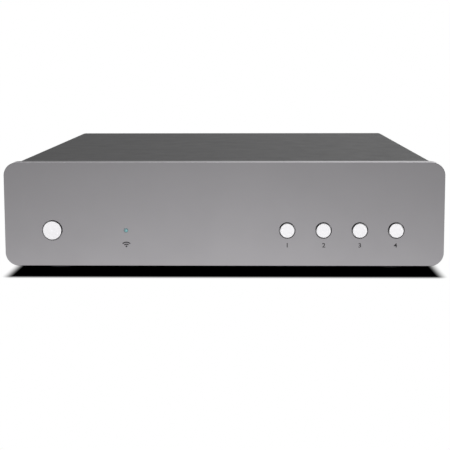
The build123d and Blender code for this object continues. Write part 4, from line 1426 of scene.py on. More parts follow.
@dataclass(frozen=True)
class FrontButtons:
    """The five buttons: turned face, square flange and cross stem in one piece."""

    flange_front: float = -91.6
    flange_thickness: float = 1.0
    flange_corner: float = 0.4
    flange_edge: float = 0.1
    bevel: float = 0.3
    root: float = -0.2
    dish: float = 0.01
    shares: tuple[float, ...] = (0.98, 0.75, 0.5, 0.25, 0.0)
    stem_rib: float = 1.4
    overlap: float = 0.1

    def build(self) -> list[Object]:
        """Build every button from its face back to its stem."""
        return [self.button(place) for place in FRONT.buttons]

    def button(self, place: ButtonPlace) -> Object:
        """Build one button, which rides on its own body.

        Args:
            place: Its name, place, diameter and rim.

        Returns:
            The finished button.
        """
        box = Span.of(place.name)
        seat = Seat(place.x, self.flange_front, FRONT.button_z, Facing.FRONT)
        face, radius = self.flange_front - box.low.y, place.diameter / 2
        inner, side = radius - self.bevel, place.diameter + 2 * FRONT.flange_extra
        shell = Shell(f"{place.name}_cap")
        stations = [
            (self.root, 0.0), (self.root, radius), (face - self.bevel, radius),
            *rounded_end(face, self.bevel, self.bevel, 4, inner),
            *((face - self.dish, inner * share) for share in self.shares),
        ]
        shell.turned(seat, stations, 96)
        flange = Rounded.centred(0, 0, side, side, self.flange_corner)
        shell.solid(seat, flange, -self.flange_thickness, 0.0, edge=self.flange_edge)
        cross = Cross(FRONT.stem / 2, self.stem_rib / 2)
        stem_start = self.overlap - self.flange_thickness
        shell.closed_tube(seat, cross, stem_start, self.flange_front - box.high.y)
        turned = replace(FINISHES["button_metal"], rim_radius=radius, rim_width=place.rim)
        metal = turned.material(f"button_metal_{place.name}", (place.x, 0.0, FRONT.button_z))
        return shell.piece("button_metal", place.name, body=place.name, finish=metal)


@dataclass(frozen=True)
class StatusLight:
    """The clear pipe of the status light, lit from behind."""

    flange_front: float = -91.7
    flange_thickness: float = 1.0
    flange_side: float = 4.4
    flange_corner: float = 0.3
    flange_edge: float = 0.08
    tail_corner: float = 0.2
    root: float = -0.1
    dome: float = 0.2
    overlap: float = 0.05
    spot: Pair = (0.3, -0.3)

    def build(self) -> list[Object]:
        """Build the pipe from its lit face back to the board.

        Returns:
            The pipe.
        """
        box = Span.of("status_light_pipe")
        seat = Seat(FRONT.light_x, self.flange_front, FRONT.button_z, Facing.FRONT)
        face, width, side = self.flange_front - box.low.y, FRONT.light_diameter, self.flange_side
        radius = width / 2
        shell = Shell("status_light")
        stations = [(self.root, 0.0), (self.root, radius), (face - self.dome, radius)]
        shell.turned(seat, stations + rounded_end(face, self.dome, radius, 8), 48)
        flange = Rounded.centred(0, 0, side, side, self.flange_corner)
        shell.solid(seat, flange, -self.flange_thickness, 0.0, edge=self.flange_edge)
        tail_start = self.overlap - self.flange_thickness
        square = Rounded.centred(0, 0, width, width, self.tail_corner)
        shell.closed_tube(seat, square, tail_start, self.flange_front - box.high.y)
        centre = (FRONT.light_x + self.spot[0], 0.0, FRONT.button_z + self.spot[1])
        glow = FINISHES["light_clear"].material("light_clear_finish", centre)
        return [shell.piece("light_clear", "status_light_pipe", finish=glow)]


@dataclass(frozen=True)
class Fold:
    """The section of a sheet folded to a U.

    Its sides end at the open end, the flat between them lies at the fold, and the half width, the
    fold and the bend are the sheet's outer ones.
    """

    half: float
    open_end: float
    fold: float
    sheet: float
    bend: float
    steps: int = 12
    edge_share: float = 0.18

    def points(self, inset: float) -> list[Flat]:
        """Return the section's outer path and its inner path back, moved in by the inset.

        Args:
            inset: The distance by which the section shrinks.

        Returns:
            The points, as many outside as inside.
        """
        way = 1.0 if self.fold > self.open_end else -1.0
        foot = self.open_end + way * inset
        paths = []
        for reach in (inset, self.sheet - inset):
            side, radius = self.half - reach, self.bend - reach
            top = self.fold - way * (reach + radius)
            bend = arc(side - radius, 0, radius, 0, QUARTER, self.steps)
            half = [(side, foot), *((u, top + way * v) for u, v in bend)]
            paths.append(half + [(-u, v) for u, v in reversed(half)])
        return paths[0] + paths[1][::-1]

    def add(self, shell: Shell, start: float, end: float) -> None:
        """Add the sheet along Y, with rounded edges.

        Args:
            shell: The mesh that it goes into.
            start: The y where it starts.
            end: The y where it ends.
        """
        edge = self.edge_share * self.sheet
        stations = rim_stations(start, end, edge, edge)
        rings = shell.loft([shell.ring(Seat(), self.points(inset), depth) for depth, inset in stations])
        for ring in (rings[0], rings[-1]):
            count = len(ring) // 2
            inner = ring[:count - 1:-1]
            for here, after in pairwise(range(count)):
                shell.mesh.faces.new((ring[here], ring[after], inner[after], inner[here]))


@dataclass(frozen=True)
class TopCover:
    """The folded steel cover, with the three tabs that its rear screws go into."""

    sheet: float = 1.0
    bend: float = 4.5
    tab_width: float = 16.0
    tab_height: float = 8.0
    tab_front: float = 84.5
    tab_radii: Four = (1.5, 1.5, 0.1, 0.1)
    tab_edge: float = 0.1

    def build(self) -> list[Object]:
        """Fold the cover and add its tabs.

        Returns:
            The cover.
        """
        box, shell = Span.of("top_cover"), Shell("cover")
        fold = Fold(box.high.x, box.low.z, box.high.z, self.sheet, self.bend)
        fold.add(shell, box.low.y, box.high.y)
        under, half = box.high.z - self.sheet, self.tab_width / 2
        for x in REAR.tab_xs:
            tab = Rounded(x - half, x + half, under - self.tab_height, under, self.tab_radii)
            shell.solid(Seat(y=self.tab_front), tab, 0.0, self.sheet, edge=self.tab_edge)
        return [shell.piece("cover_paint", "top_cover")]


@dataclass(frozen=True)
class RearPanel:
    """The rear plate, with a cut-out for each socket and two rows of vent slots."""

    low_corner: float = 4.0
    high_corner: float = 3.3
    gap: float = 0.3
    window_corner: float = 0.5
    media_corner: float = 2.6
    edge: float = 0.12
    phono_radius: float = 4.45
    aerial_radius: float = 3.2
    slots: SlotRows = SlotRows(2.2, 17.35, 5.0, 7)
    slot_xs: Pair = (-31.0, 32.0)
    slot_z: float = 39.775

    def build(self) -> list[Object]:
        """Cut the plate and its slots.

        Returns:
            The plate.
        """
        box = Span.of("rear_panel")
        outline = Rounded.around(box, 0.0, self.low_corner, self.high_corner)
        holes = [
            self.window("network_socket", self.window_corner),
            self.window("media_socket", self.media_corner),
            self.window("optical_socket", self.window_corner),
            self.window("mains_inlet", self.window_corner, self.gap - MainsInlet.rim),
            *(Rounded.circle(x, REAR.phono_z, self.phono_radius) for x in REAR.phono_xs),
            *(Rounded.circle(x, REAR.aerial_z, self.aerial_radius) for x in (-REAR.aerial_x, REAR.aerial_x)),
        ]
        shell = Shell("rear_plate")
        seat, bores = Seat(y=box.low.y), [[(hole, 0.0)] for hole in holes]
        shell.solid(seat, outline, 0.0, box.size.y, bores, edge=self.edge)
        middles = [(x, box.middle.y, self.slot_z) for x in self.slot_xs]
        plate = self.slots.cut(shell.loose(), middles, Facing.REAR, "rear_paint")
        return [settled(plate, "rear_paint", "rear_panel")]

    def window(self, node: str, low: float, gap: float | None = None) -> Rounded:
        """Return the cut-out round a socket, by its low radius and the gap where it differs."""
        gap = self.gap if gap is None else gap
        return Rounded.around(Span.of(node), gap, low, self.window_corner, 4)


@dataclass(frozen=True)
class Tray:
    """The folded tray under everything: floor and sides, front wall and low rear flange."""

    sheet: float = 1.0
    bend: float = 4.0
    side_top: float = 25.5
    wall_round: float = 3.3
    flange_top: float = 13.1
    flange_round: float = 0.2
    edge: float = 0.12
    stem_window: float = 5.0
    light_window: float = 3.0
    window_corner: float = 0.3
    screw_radius: float = 1.7
    slots: SlotRows = SlotRows(2.4, 24.0, 5.4, 6)
    slot_xs: Pair = (-51.65, 31.0)
    slot_ys: Pair = (-30.9, 28.7)

    def build(self) -> list[Object]:
        """Fold the floor, cut its slots, and add the two end walls.

        Returns:
            The floor with its sides, and the end walls.
        """
        box = Span.of("chassis_tray")
        flange_front = box.high.y - self.sheet
        floor = Shell("tray_floor")
        fold = Fold(box.high.x, self.side_top, box.low.z, self.sheet, self.bend)
        fold.add(floor, box.low.y + self.sheet, flange_front)
        middles = [(x, y, box.low.z + self.sheet / 2) for x in self.slot_xs for y in self.slot_ys]
        base = self.slots.cut(floor.loose(), middles, Facing.UP, "tray_steel")
        windows = [self.window(button.x, self.stem_window) for button in FRONT.buttons]
        windows.append(self.window(FRONT.light_x, self.light_window))
        windows += [Rounded.circle(x, FRONT.screw_z, self.screw_radius, 6) for x in FRONT.screw_xs]
        walls = Shell("tray_walls")
        wall = Rounded.around(box, 0.0, self.bend, self.wall_round)
        bores = [[(window, 0.0)] for window in windows]
        walls.solid(Seat(y=box.low.y), wall, 0.0, self.sheet, bores, edge=self.edge)
        radii = (self.bend, self.bend, self.flange_round, self.flange_round)
        flange = replace(wall, high=self.flange_top, radii=radii)
        walls.solid(Seat(y=flange_front), flange, 0.0, self.sheet, edge=self.edge)
        return [settled(base, "tray_steel", "chassis_tray"), walls.piece("tray_steel", "chassis_tray")]

    def window(self, x: float, side: float) -> Rounded:
        """Return the window in the front wall for a stem or for the light pipe."""
        return Rounded.centred(x, FRONT.button_z, side, side, self.window_corner)


@dataclass(frozen=True)
class CaseScrews:
    """The black screws of the cover's sides and of the rear panel."""

    side_x: float = 104.5
    side_ys: Pair = (-55.4, 53.2)
    side_z: float = 18.5
    rear_y: float = 86.5
    tab_z: float = 50.55
    low_xs: Pair = (-95.04, 95.04)
    low_z: float = 9.4

    def build(self) -> list[Object]:
        """Stand a screw on every place.

        Returns:
            The screws.
        """
        spots = {
            (side * self.side_x, y, self.side_z): (side, 0, 0) for side in (-1, 1) for y in self.side_ys
        }
        spots |= {(x, self.rear_y, self.tab_z): (0, 1, 0) for x in REAR.tab_xs}
        spots |= {(x, self.rear_y, self.low_z): (0, 1, 0) for x in self.low_xs}
        screw = PanScrew()
        shape = screw.shape("screw_shape")
        return [stood("cover_screws", shape, screw.size, spots, "screw_black", "case_screws")]


@dataclass(frozen=True)
class Feet:
    """Four rubber feet and the screws in their recesses."""

    diameter: float = 19.0
    taper: float = 1.2
    recess_radius: float = 4.2
    recess_depth: float = 2.9
    bore: float = 0.09
    screw: PanScrew = PanScrew(shank_length=2.9)
    xs: Pair = (-84.7, 84.7)
    ys: Pair = (-67.7, 65.5)

    def build(self) -> list[Object]:
        """Stand the feet and their screws.

        Returns:
            The feet and their screws.
        """
        height, down = Span.of("rubber_feet").high.z, (0, 0, -1)
        tops, seats = (
            {(x, y, z): down for x in self.xs for y in self.ys} for z in (height, self.recess_depth)
        )
        foot, screw = self.shape(height), self.screw.shape("foot_screw_shape")
        return [
            stood("feet", foot, (self.diameter, height), tops, "foot_rubber", "rubber_feet"),
            stood("feet_screws", screw, self.screw.size, seats, "screw_steel", "foot_screws"),
        ]

    def shape(self, height: float) -> Object:
        """Build a foot one wide and one high, with its top on z = 0 and its ground face at z = 1.

        Args:
            height: The foot's real height.

        Returns:
            The shape, which a node tree sizes.
        """
        low, recess = 0.5 - self.taper / self.diameter, self.recess_radius / self.diameter
        floor = 1.0 - self.recess_depth / height
        shell = Shell("foot_shape")
        stations = [
            (0.0, self.bore), (0.0, 0.485), (0.02, 0.497), (0.05, 0.5),
            (0.9, low + 0.006), (0.95, low + 0.001), (0.985, low - 0.01), (1.0, low - 0.03),
            (1.0, recess + 0.02), (0.985, recess + 0.005), (0.96, recess),
            (floor, recess), (floor, self.bore),
        ]
        shell.turned(Seat(facing=Facing.UP), stations, 72, True)
        return shell.loose(scale=1.0)


# Sockets


@dataclass(frozen=True)
class NetworkSocket:
    """The network socket: tinned shield, black insert and eight sprung contacts."""

    wall: float = 0.3
    corner: float = 0.5
    liner: float = 0.35
    hollow_corner: float = 0.3
    liner_corner: float = 0.25
    liner_start: float = 0.4
    edge: float = 0.1
    front_edge: float = 0.4
    mouth_width: float = 11.9
    mouth_height: float = 8.2
    mouth_depth: float = 15.0
    mouth_rise: float = 2.6
    latch_width: float = 6.2
    latch_height: float = 1.7
    contact_width: float = 0.45
    contact_thickness: float = 0.22
    contact_pitch: float = 1.02
    contact_count: int = 8
    finger_rises: Pair = (3.6, 8.6)
    finger_width: float = 1.8
    finger_thickness: float = 0.15
    finger_bow: float = 0.2
    finger_ends: Pair = (6.0, 1.0)
    finger_steps: int = 8

    def build(self) -> list[Object]:
        """Build the shield, the insert inside it and the contacts.

        Returns:
            The shield, the insert and the contacts.
        """
        box = Span.of("network_socket")
        seat, wall, liner = box.inner_seat(box.low.z), self.wall, self.liner
        long, half, tall = box.size.y, box.size.x / 2, box.size.z
        shield = Shell("network_shield")
        hollow = Rounded.standing(half, tall, self.hollow_corner, wall)
        bores = [[(self.mouth(liner), long - wall), (hollow, wall)]]
        body = Rounded.standing(half, tall, self.corner, steps=6)
        shield.solid(seat, body, 0.0, long, bores, edge=self.edge, front_edge=self.front_edge)
        for side in (-1, 1):
            for rise in self.finger_rises:
                self.finger(shield, seat, side, half, rise, long)
        insert = Shell("network_insert")
        room = Rounded.standing(half, tall, self.liner_corner, liner)
        bores = [[(self.mouth(), long - self.mouth_depth)]]
        insert.solid(seat, room, self.liner_start, long - liner, bores, edge=self.edge)
        return [
            shield.piece("plated_steel", "network_socket"),
            insert.piece("socket_black", "network_socket"),
            self.contacts(box.middle.x),
        ]

    def mouth(self, grow: float = 0.0) -> Polygon:
        """Return the mouth's outline with its latch notch, grown by a distance.

        Args:
            grow: The distance.

        Returns:
            The outline.
        """
        half, notch = self.mouth_width / 2 + grow, self.latch_width / 2 + grow
        low, high = self.mouth_rise - grow, self.mouth_rise + self.mouth_height + grow
        right = ((notch, low - self.latch_height), (notch, low), (half, low), (half, high))
        left = tuple((-u, v) for u, v in reversed(right))
        return Polygon((left[-1], *right, *left[:-1]))

    def finger(self, shell: Shell, seat: Seat, side: int, half: float, rise: float, long: float) -> None:
        """Add a bowed grounding finger on the shield's side.

        Args:
            shell: The mesh that it goes into.
            seat: The shield's seat.
            side: -1 for the left side, 1 for the right.
            half: Half of the shield's width.
            rise: The height of the finger's middle.
            long: The shield's length.
        """
        low, high = rise - self.finger_width / 2, rise + self.finger_width / 2
        start, end = (long - reach for reach in self.finger_ends)
        rings = []
        for share in (step / self.finger_steps for step in range(self.finger_steps + 1)):
            out = side * (half + self.finger_bow * math.sin(math.pi * share))
            inner = out - side * self.finger_thickness
            corners = ((inner, low), (out, low), (out, high), (inner, high))
            rings.append(shell.ring(seat, corners, start + (end - start) * share))
        shell.loft(rings)
        shell.cap(rings[0], rings[-1])

    def contacts(self, middle: float) -> Object:
        """Build the row of contact wires that spring down into the mouth.

        Args:
            middle: The x of the row's middle.

        Returns:
            The finished row.
        """
        box = Span.of("network_contacts")
        low, high = box.low, box.high
        path = bpy.data.curves.new("contact_path", "CURVE")
        path.dimensions = "3D"
        line = (
            (low.y, high.z - 0.1), (low.y + 1.2, high.z - 0.35), (high.y - 1.4, low.z + 0.55),
            (high.y - 0.4, low.z + 0.25), (high.y, low.z + 0.6),
        )
        spline = path.splines.new("BEZIER")
        spline.bezier_points.add(len(line) - 1)
        for point, (y, z) in zip(spline.bezier_points, line):
            point.co = (0.0, y * MM, z * MM)
            point.handle_left_type = point.handle_right_type = "AUTO"
        spline.resolution_u = 6
        row = grown(point_cloud("network_pins", [(0, 0, 0)]), wire_tree(), "gold_plate", {
            "Path": linked("contact_path", path),
            "Width": self.contact_width * MM, "Thickness": self.contact_thickness * MM,
            "Count": self.contact_count, "Pitch": self.contact_pitch * MM,
        })
        row.data.transform(Matrix.Translation((middle * MM, 0.0, 0.0)))
        return settled(row, "gold_plate", "network_contacts")


@dataclass(frozen=True)
class MediaSocket:
    """The media socket: a folded shell with sloped lower corners and a padded tongue."""

    wall: float = 0.5
    slope: float = 1.9
    back: float = 2.0
    edges: Pair = (0.12, 0.2)
    blade_corner: float = 0.2
    blade_edges: Pair = (0.1, 0.3)
    pad_count: int = 10
    pad_margin: float = 1.4
    pad_size: Pair = (0.5, 0.08)
    pad_ends: Pair = (1.0, 0.5)
    pad_corner: float = 0.02
    pad_edge: float = 0.01

    def build(self) -> list[Object]:
        """Build the shell and its tongue.

        Returns:
            The shell, the tongue and its pads.
        """
        box = Span.of("media_socket")
        half, tall, slope = box.size.x / 2, box.size.z, self.slope
        right = ((half - slope, 0.0), (half, slope), (half, tall))
        left = tuple((-u, v) for u, v in reversed(right))
        body = Polygon((left[-1], *right, *left[:-1]))
        shell = Shell("media_shell")
        bores = [[(Polygon(tuple(body.points(self.wall))), self.back)]]
        seat = box.inner_seat(box.low.z)
        shell.solid(seat, body, 0.0, box.size.y, bores, (), *self.edges)
        box = Span.of("media_tongue")
        seat, size = box.inner_seat(box.middle.z), box.size
        tongue, pads = Shell("media_blade"), Shell("media_pads")
        blade = Rounded.centred(0, 0, size.x, size.z, self.blade_corner)
        tongue.solid(seat, blade, 0.0, size.y, (), (), *self.blade_edges)
        start, end = self.pad_ends[0], size.y - self.pad_ends[1]
        pitch = (size.x - self.pad_margin) / (self.pad_count - 1)
        for side in (-1, 1):
            for number in range(self.pad_count):
                across = (number - (self.pad_count - 1) / 2) * pitch
                strip = Rounded.centred(across, side * size.z / 2, *self.pad_size, self.pad_corner)
                pads.solid(seat, strip, start, end, edge=self.pad_edge)
        return [
            shell.piece("plated_steel", "media_socket"), tongue.piece("tongue_blue", "media_tongue"),
            pads.piece("gold_plate"),
        ]


@dataclass(frozen=True)
class OpticalSocket:
    """The optical output: black housing, sprung shutter and the red emitter behind it."""

    mouth_width: float = 8.4
    mouth_height: float = 8.6
    mouth_depth: float = 10.5
    mouth_corner: float = 0.8
    corner: float = 0.3
    edge: float = 0.2
    floor: float = 0.9
    emitter_radius: float = 1.3
    emitter_gap: float = 0.02
    dome: float = 0.6
    shutter_thickness: float = 0.8
    barrel: float = 1.2
    pin_radius: float = 0.43
    pin_length: float = 0.5
    leaf_radii: Four = (0.7, 0.7, 0.05, 0.05)
    leaf_edge: float = 0.12
    cup_radius: float = 2.6
    cup_depth: float = 0.3

    def build(self) -> list[Object]:
        """Build the housing, the shutter on its hinge line, and the emitter.

        Returns:
            The housing, the emitter and the shutter.
        """
        box = Span.of("optical_socket")
        long, middle_z = box.size.y, self.floor + self.mouth_height / 2
        body = Rounded.standing(box.size.x / 2, box.size.z, self.corner)
        mouth = Rounded.centred(0, middle_z, self.mouth_width, self.mouth_height, self.mouth_corner)
        hole = Rounded.circle(0, middle_z, self.emitter_radius)
        shell, emitter = Shell("optical_housing"), Shell("optical_lens")
        bores = [[(mouth, long - self.mouth_depth), (hole, 0.0)]]
        shell.solid(box.inner_seat(box.low.z), body, 0.0, long, bores, edge=self.edge)
        box = Span.of("optical_emitter")
        tip, radius = box.size.y, self.emitter_radius - self.emitter_gap
        lens = [(0.0, 0.0), (0.0, radius), (tip - self.dome, radius)]
        lens += rounded_end(tip, self.dome, radius, 6)
        emitter.turned(box.inner_seat(box.middle.z), lens, 32)
        return [
            shell.piece("socket_black", "optical_socket"),
            emitter.piece("emitter_red", "optical_emitter"), self.shutter(),
        ]

    def shutter(self) -> Object:
        """Build the shutter: leaf with a dished middle, round barrel and two pins.

        Returns:
            The finished shutter, which rides on its own body.
        """
        box = Span.of("optical_shutter")
        reach, barrel, thick, pin = box.size.x / 2, self.barrel / 2, self.shutter_thickness, self.pin_radius
        half, low, hinge_z = reach - self.pin_length, box.low.z, box.high.z - barrel
        shell = Shell("optical_flap")
        leaf = Rounded(-half, half, low, hinge_z, self.leaf_radii, 5)
        dish = Rounded.circle(0, (low + hinge_z) / 2, self.cup_radius, 8)
        seat = Seat(box.middle.x, box.high.y - thick)
        shell.solid(seat, leaf, 0.0, thick, [[(dish, thick - self.cup_depth)]], edge=self.leaf_edge)
        side = [(half, barrel), (half, pin), (reach, pin), (reach, 0.0)]
        axis = Seat(box.middle.x, box.high.y - barrel, hinge_z, Facing.RIGHT)
        shell.turned(axis, [(-depth, radius) for depth, radius in reversed(side)] + side, 24)
        return shell.piece("socket_black", "optical_shutter", body="optical_shutter")


@dataclass(frozen=True)
class PhonoSockets:
    """The phono sockets: gold sleeves with a rolled lip, and coloured inserts with a sprung contact."""

    radius: float = 4.15
    wall: float = 0.6
    gap: float = 0.02
    bore_radius: float = 1.65
    bore_depth: float = 8.0
    names: tuple[str, ...] = ("digital", "left", "right")

    def build(self) -> list[Object]:
        """Build the three sleeves and their inserts.

        Returns:
            The inserts and the sleeves.
        """
        box, sleeves = Span.of("phono_sleeves"), Shell("phono_rings")
        made = []
        for x, name in zip(REAR.phono_xs, self.names):
            seat = Seat(x, box.low.y, REAR.phono_z)
            self.sleeve(sleeves, seat, box.size.y)
            made.append(self.insert(seat, name))
        return [*made, sleeves.piece("gold_plate", "phono_sleeves")]

    def sleeve(self, shell: Shell, seat: Seat, long: float) -> None:
        """Add one sleeve with its lip and a shallow groove behind it.

        Args:
            shell: The mesh that it goes into.
            seat: The socket's axis, from the inner end of its sleeve.
            long: The sleeve's length.
        """
        outer = self.radius
        inner = outer - self.wall
        stations = [
            (0.0, inner + self.gap), (0.0, outer - 0.1), (1.0, outer - 0.1), (1.3, outer - 0.1),
            (1.45, outer), (long - 2.2, outer), (long - 2.05, outer - 0.12),
            (long - 1.75, outer - 0.12), (long - 1.6, outer), (long - 0.3, outer),
            (long - 0.09, outer - 0.09), (long, outer - 0.3), (long - 0.09, inner + 0.09),
            (long - 0.3, inner + self.gap),
        ]
        shell.turned(seat, stations, 72, True)

    def insert(self, seat: Seat, name: str) -> Object:
        """Build the insert of the socket on this seat.

        Args:
            seat: The socket's axis, from the inner end of its sleeve.
            name: The socket's name.

        Returns:
            The finished insert.
        """
        node = f"{name}_socket_insert"
        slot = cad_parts[node].data.materials[0].name
        long, bore = Span.of(node).size.y, self.bore_radius
        radius = self.radius - self.wall - self.gap / 2
        shell = Shell(f"{name}_insert")
        shell.turned(seat, [
            (0.0, 0.0), (0.0, radius), (long - 0.25, radius), (long - 0.07, radius - 0.07),
            (long, radius - 0.25), (long, bore + 0.45), (long - 0.08, bore + 0.15),
            (long - 0.3, bore), (long - self.bore_depth, bore), (long - self.bore_depth, 0.0),
        ])
        return shell.piece(slot, node)


@dataclass(frozen=True)
class AerialSockets:
    """The threaded aerial sockets and the nuts that hold them."""

    radius: float = 3.15
    pitch: float = 0.7
    thread: float = 0.24
    thread_gap: float = 0.9
    shallow: float = 0.3
    rings_per_turn: int = 8
    lead_in: float = 0.6
    lead_drop: float = 0.25
    collar: float = 1.0
    edge: float = 0.2
    overlap: float = 0.1
    cup_depth: float = 3.0
    wall: float = 0.8
    pin_radius: float = 0.65
    nut_across: float = 8.0
    nut_cover: float = 0.5
    sides: int = 48

    def build(self) -> list[Object]:
        """Build both sockets and both nuts.

        Returns:
            The sockets and the nuts.
        """
        box, nut_box = Span.of("aerial_sockets"), Span.of("aerial_nuts")
        sockets, nuts = Shell("aerial_posts"), Shell("aerial_hex_nuts")
        panel, nut = nut_box.low.y, nut_box.high.y
        bore = Rounded.circle(0, 0, self.radius + 0.02, 18)
        for side in (-1, 1):
            seat = Seat(side * REAR.aerial_x, 0, REAR.aerial_z)
            self.post(sockets, seat, box, panel, nut)
            outside = [(panel, 0.45), (panel + 0.12, 0.0), (nut - 0.3, 0.0), (nut, 0.6)]
            outer = nuts.tube(seat, Hexagon(self.nut_across), outside)
            inner = nuts.tube(seat, bore, [(panel, 0.0), (nut - 0.3, 0.0), (nut, -0.3)])
            nuts.fill(outer[0], inner[0])
            nuts.fill(outer[-1], inner[-1])
        return [sockets.piece("gold_plate", "aerial_sockets"), nuts.piece("gold_plate", "aerial_nuts")]

    def post(self, shell: Shell, seat: Seat, box: Span, panel: float, nut: float) -> None:
        """Add one socket: hexagon inside, thread outside, and a cup with its centre pin.

        Args:
            shell: The mesh that it goes into.
            seat: The socket's axis.
            box: The box of both sockets.
            panel: The y of the rear panel's face.
            nut: The y of the nut's outer face.
        """
        shell.solid(seat, Hexagon(self.nut_across), box.low.y, panel - self.collar, edge=self.edge)
        start, end, pin = panel - self.thread_gap, box.high.y, self.pin_radius
        rows = round((end - start) / self.pitch * self.rings_per_turn)
        depths = [start + (end - start) * row / rows for row in range(rows + 1)]
        rings = shell.loft([shell.ring(seat, self.thread_ring(depth, end, nut), depth) for depth in depths])
        cup = Rounded.circle(0, 0, self.radius - self.wall, self.sides // 4)
        root, tip = end - self.cup_depth, end - self.wall
        walls = shell.tube(seat, cup, [(end, -0.15), (end - 0.15, 0.0), (root, 0.0)])
        shell.cap(rings[0], walls[-1])
        shell.fill(rings[-1], walls[0])
        root -= self.overlap
        stations = [(root, 0.0), (root, pin), (tip - 0.4, pin), (tip - 0.1, pin - 0.25), (tip, 0.0)]
        shell.turned(seat, stations, 20)

    def thread_ring(self, depth: float, end: float, nut: float) -> list[Flat]:
        """Return one ring of the thread, whose radius follows the helix and eases to the end.

        Args:
            depth: The ring's y.
            end: The y of the socket's end.
            nut: The y of the nut's outer face.

        Returns:
            The ring's points.
        """
        drop = self.lead_drop * (1.0 - min(1.0, max(0.0, (end - depth) / self.lead_in)))
        points = []
        for share in (number / self.sides for number in range(self.sides)):
            phase = (depth / self.pitch - share) % 1.0
            cut = self.thread * (1.0 - abs(2 * phase - 1.0))
            seen = depth > nut - self.nut_cover
            reach = self.radius - (cut if seen else self.thread * self.shallow) - drop
            turn = 2 * math.pi * share
            points.append((reach * math.cos(turn), reach * math.sin(turn)))
        return points


@dataclass(frozen=True)
class MainsInlet:
    """The two-pin mains inlet: flanged body with a round-ended well, and its pins."""

    rim: float = 2.2
    flange_corner: float = 2.2
    flange_thickness: float = 1.6
    flange_edges: Pair = (0.1, 0.6)
    body_corner: float = 0.6
    body_edge: float = 0.2
    mouth_width: float = 16.0
    mouth_height: float = 9.0
    mouth_depth: float = 13.0
    mouth_edge: float = 0.4
    pin_radius: float = 1.2
    pin_root: float = 0.2
    pin_spacing: float = 8.6
    pin_setback: float = 2.0

    def build(self) -> list[Object]:
        """Build the body and the pins.

        Returns:
            The body and the pins.
        """
        box = Span.of("mains_inlet")
        middle, (width, long, height) = box.middle, box.size
        seat, flange_back = box.inner_seat(middle.z), long - self.flange_thickness
        root, tip = long - self.mouth_depth, long - self.pin_setback
        flange = Rounded.centred(0, 0, width, height, self.flange_corner)
        mouth = Rounded.centred(0, 0, self.mouth_width, self.mouth_height, self.mouth_height / 2)
        body = Rounded.centred(0, 0, width - 2 * self.rim, height - 2 * self.rim, self.body_corner)
        shell, pins = Shell("mains_body"), Shell("mains_blades")
        sides = [*edge_stations(0.0, 1.0, self.body_edge), (flange_back, 0.0)]
        outer = shell.tube(seat, body, sides)
        face = shell.tube(seat, flange, rim_stations(flange_back, long, *self.flange_edges))
        first, last = shell.bore(seat, [(mouth, root)], long, self.mouth_edge)
        shell.fill(face[0], outer[-1])
        shell.fill(face[-1], first)
        shell.cap(last, outer[0])
        radius, start = self.pin_radius, root - self.pin_root
        stations = [(start, 0.0), (start, radius), (tip - radius, radius)]
        for side in (-1, 1):
            axis = replace(seat, x=middle.x + side * self.pin_spacing / 2)
            pins.turned(axis, stations + rounded_end(tip, radius, radius, 6), 32)
        return [shell.piece("socket_black", "mains_inlet"), pins.piece("plated_steel", "mains_pins")]


class CarriedOver:
    """The CAD nodes that stay as they are, each with its own finish."""

    def build(self) -> list[Object]:
        """Give every shown node the finish of its slot.

        Returns:
            The nodes.
        """
        made = []
        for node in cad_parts.values():
            slot = node.data.materials[0].name
            if slot in FINISHES and not node.hide_render:
                node.data.materials[0] = finish_of(slot)
                made.append(node)
        return made


# Stage


@dataclass(frozen=True)
class Lamp:
    """A soft rectangular lamp: its place and aim in millimetres, its size and its power."""

    name: str
    place: Triple
    aim: Triple
    size: Pair
    power: float
    mirrored: bool = True

    def build(self) -> Object:
        """Hang the lamp.

        Returns:
            The lamp.
        """
        data = bpy.data.lights.new(self.name, "AREA")
        data.shape = "RECTANGLE"
        data.size, data.size_y = (value * MM for value in self.size)
        data.energy = self.power
        lamp = linked(self.name, data)
        place, aim = Vector(self.place) * MM, Vector(self.aim) * MM
        turn = (aim - place).to_track_quat("-Z", "Y").to_matrix().to_4x4()
        lamp.matrix_world = Matrix.Translation(place) @ turn
        lamp.visible_glossy = self.mirrored
        return lamp


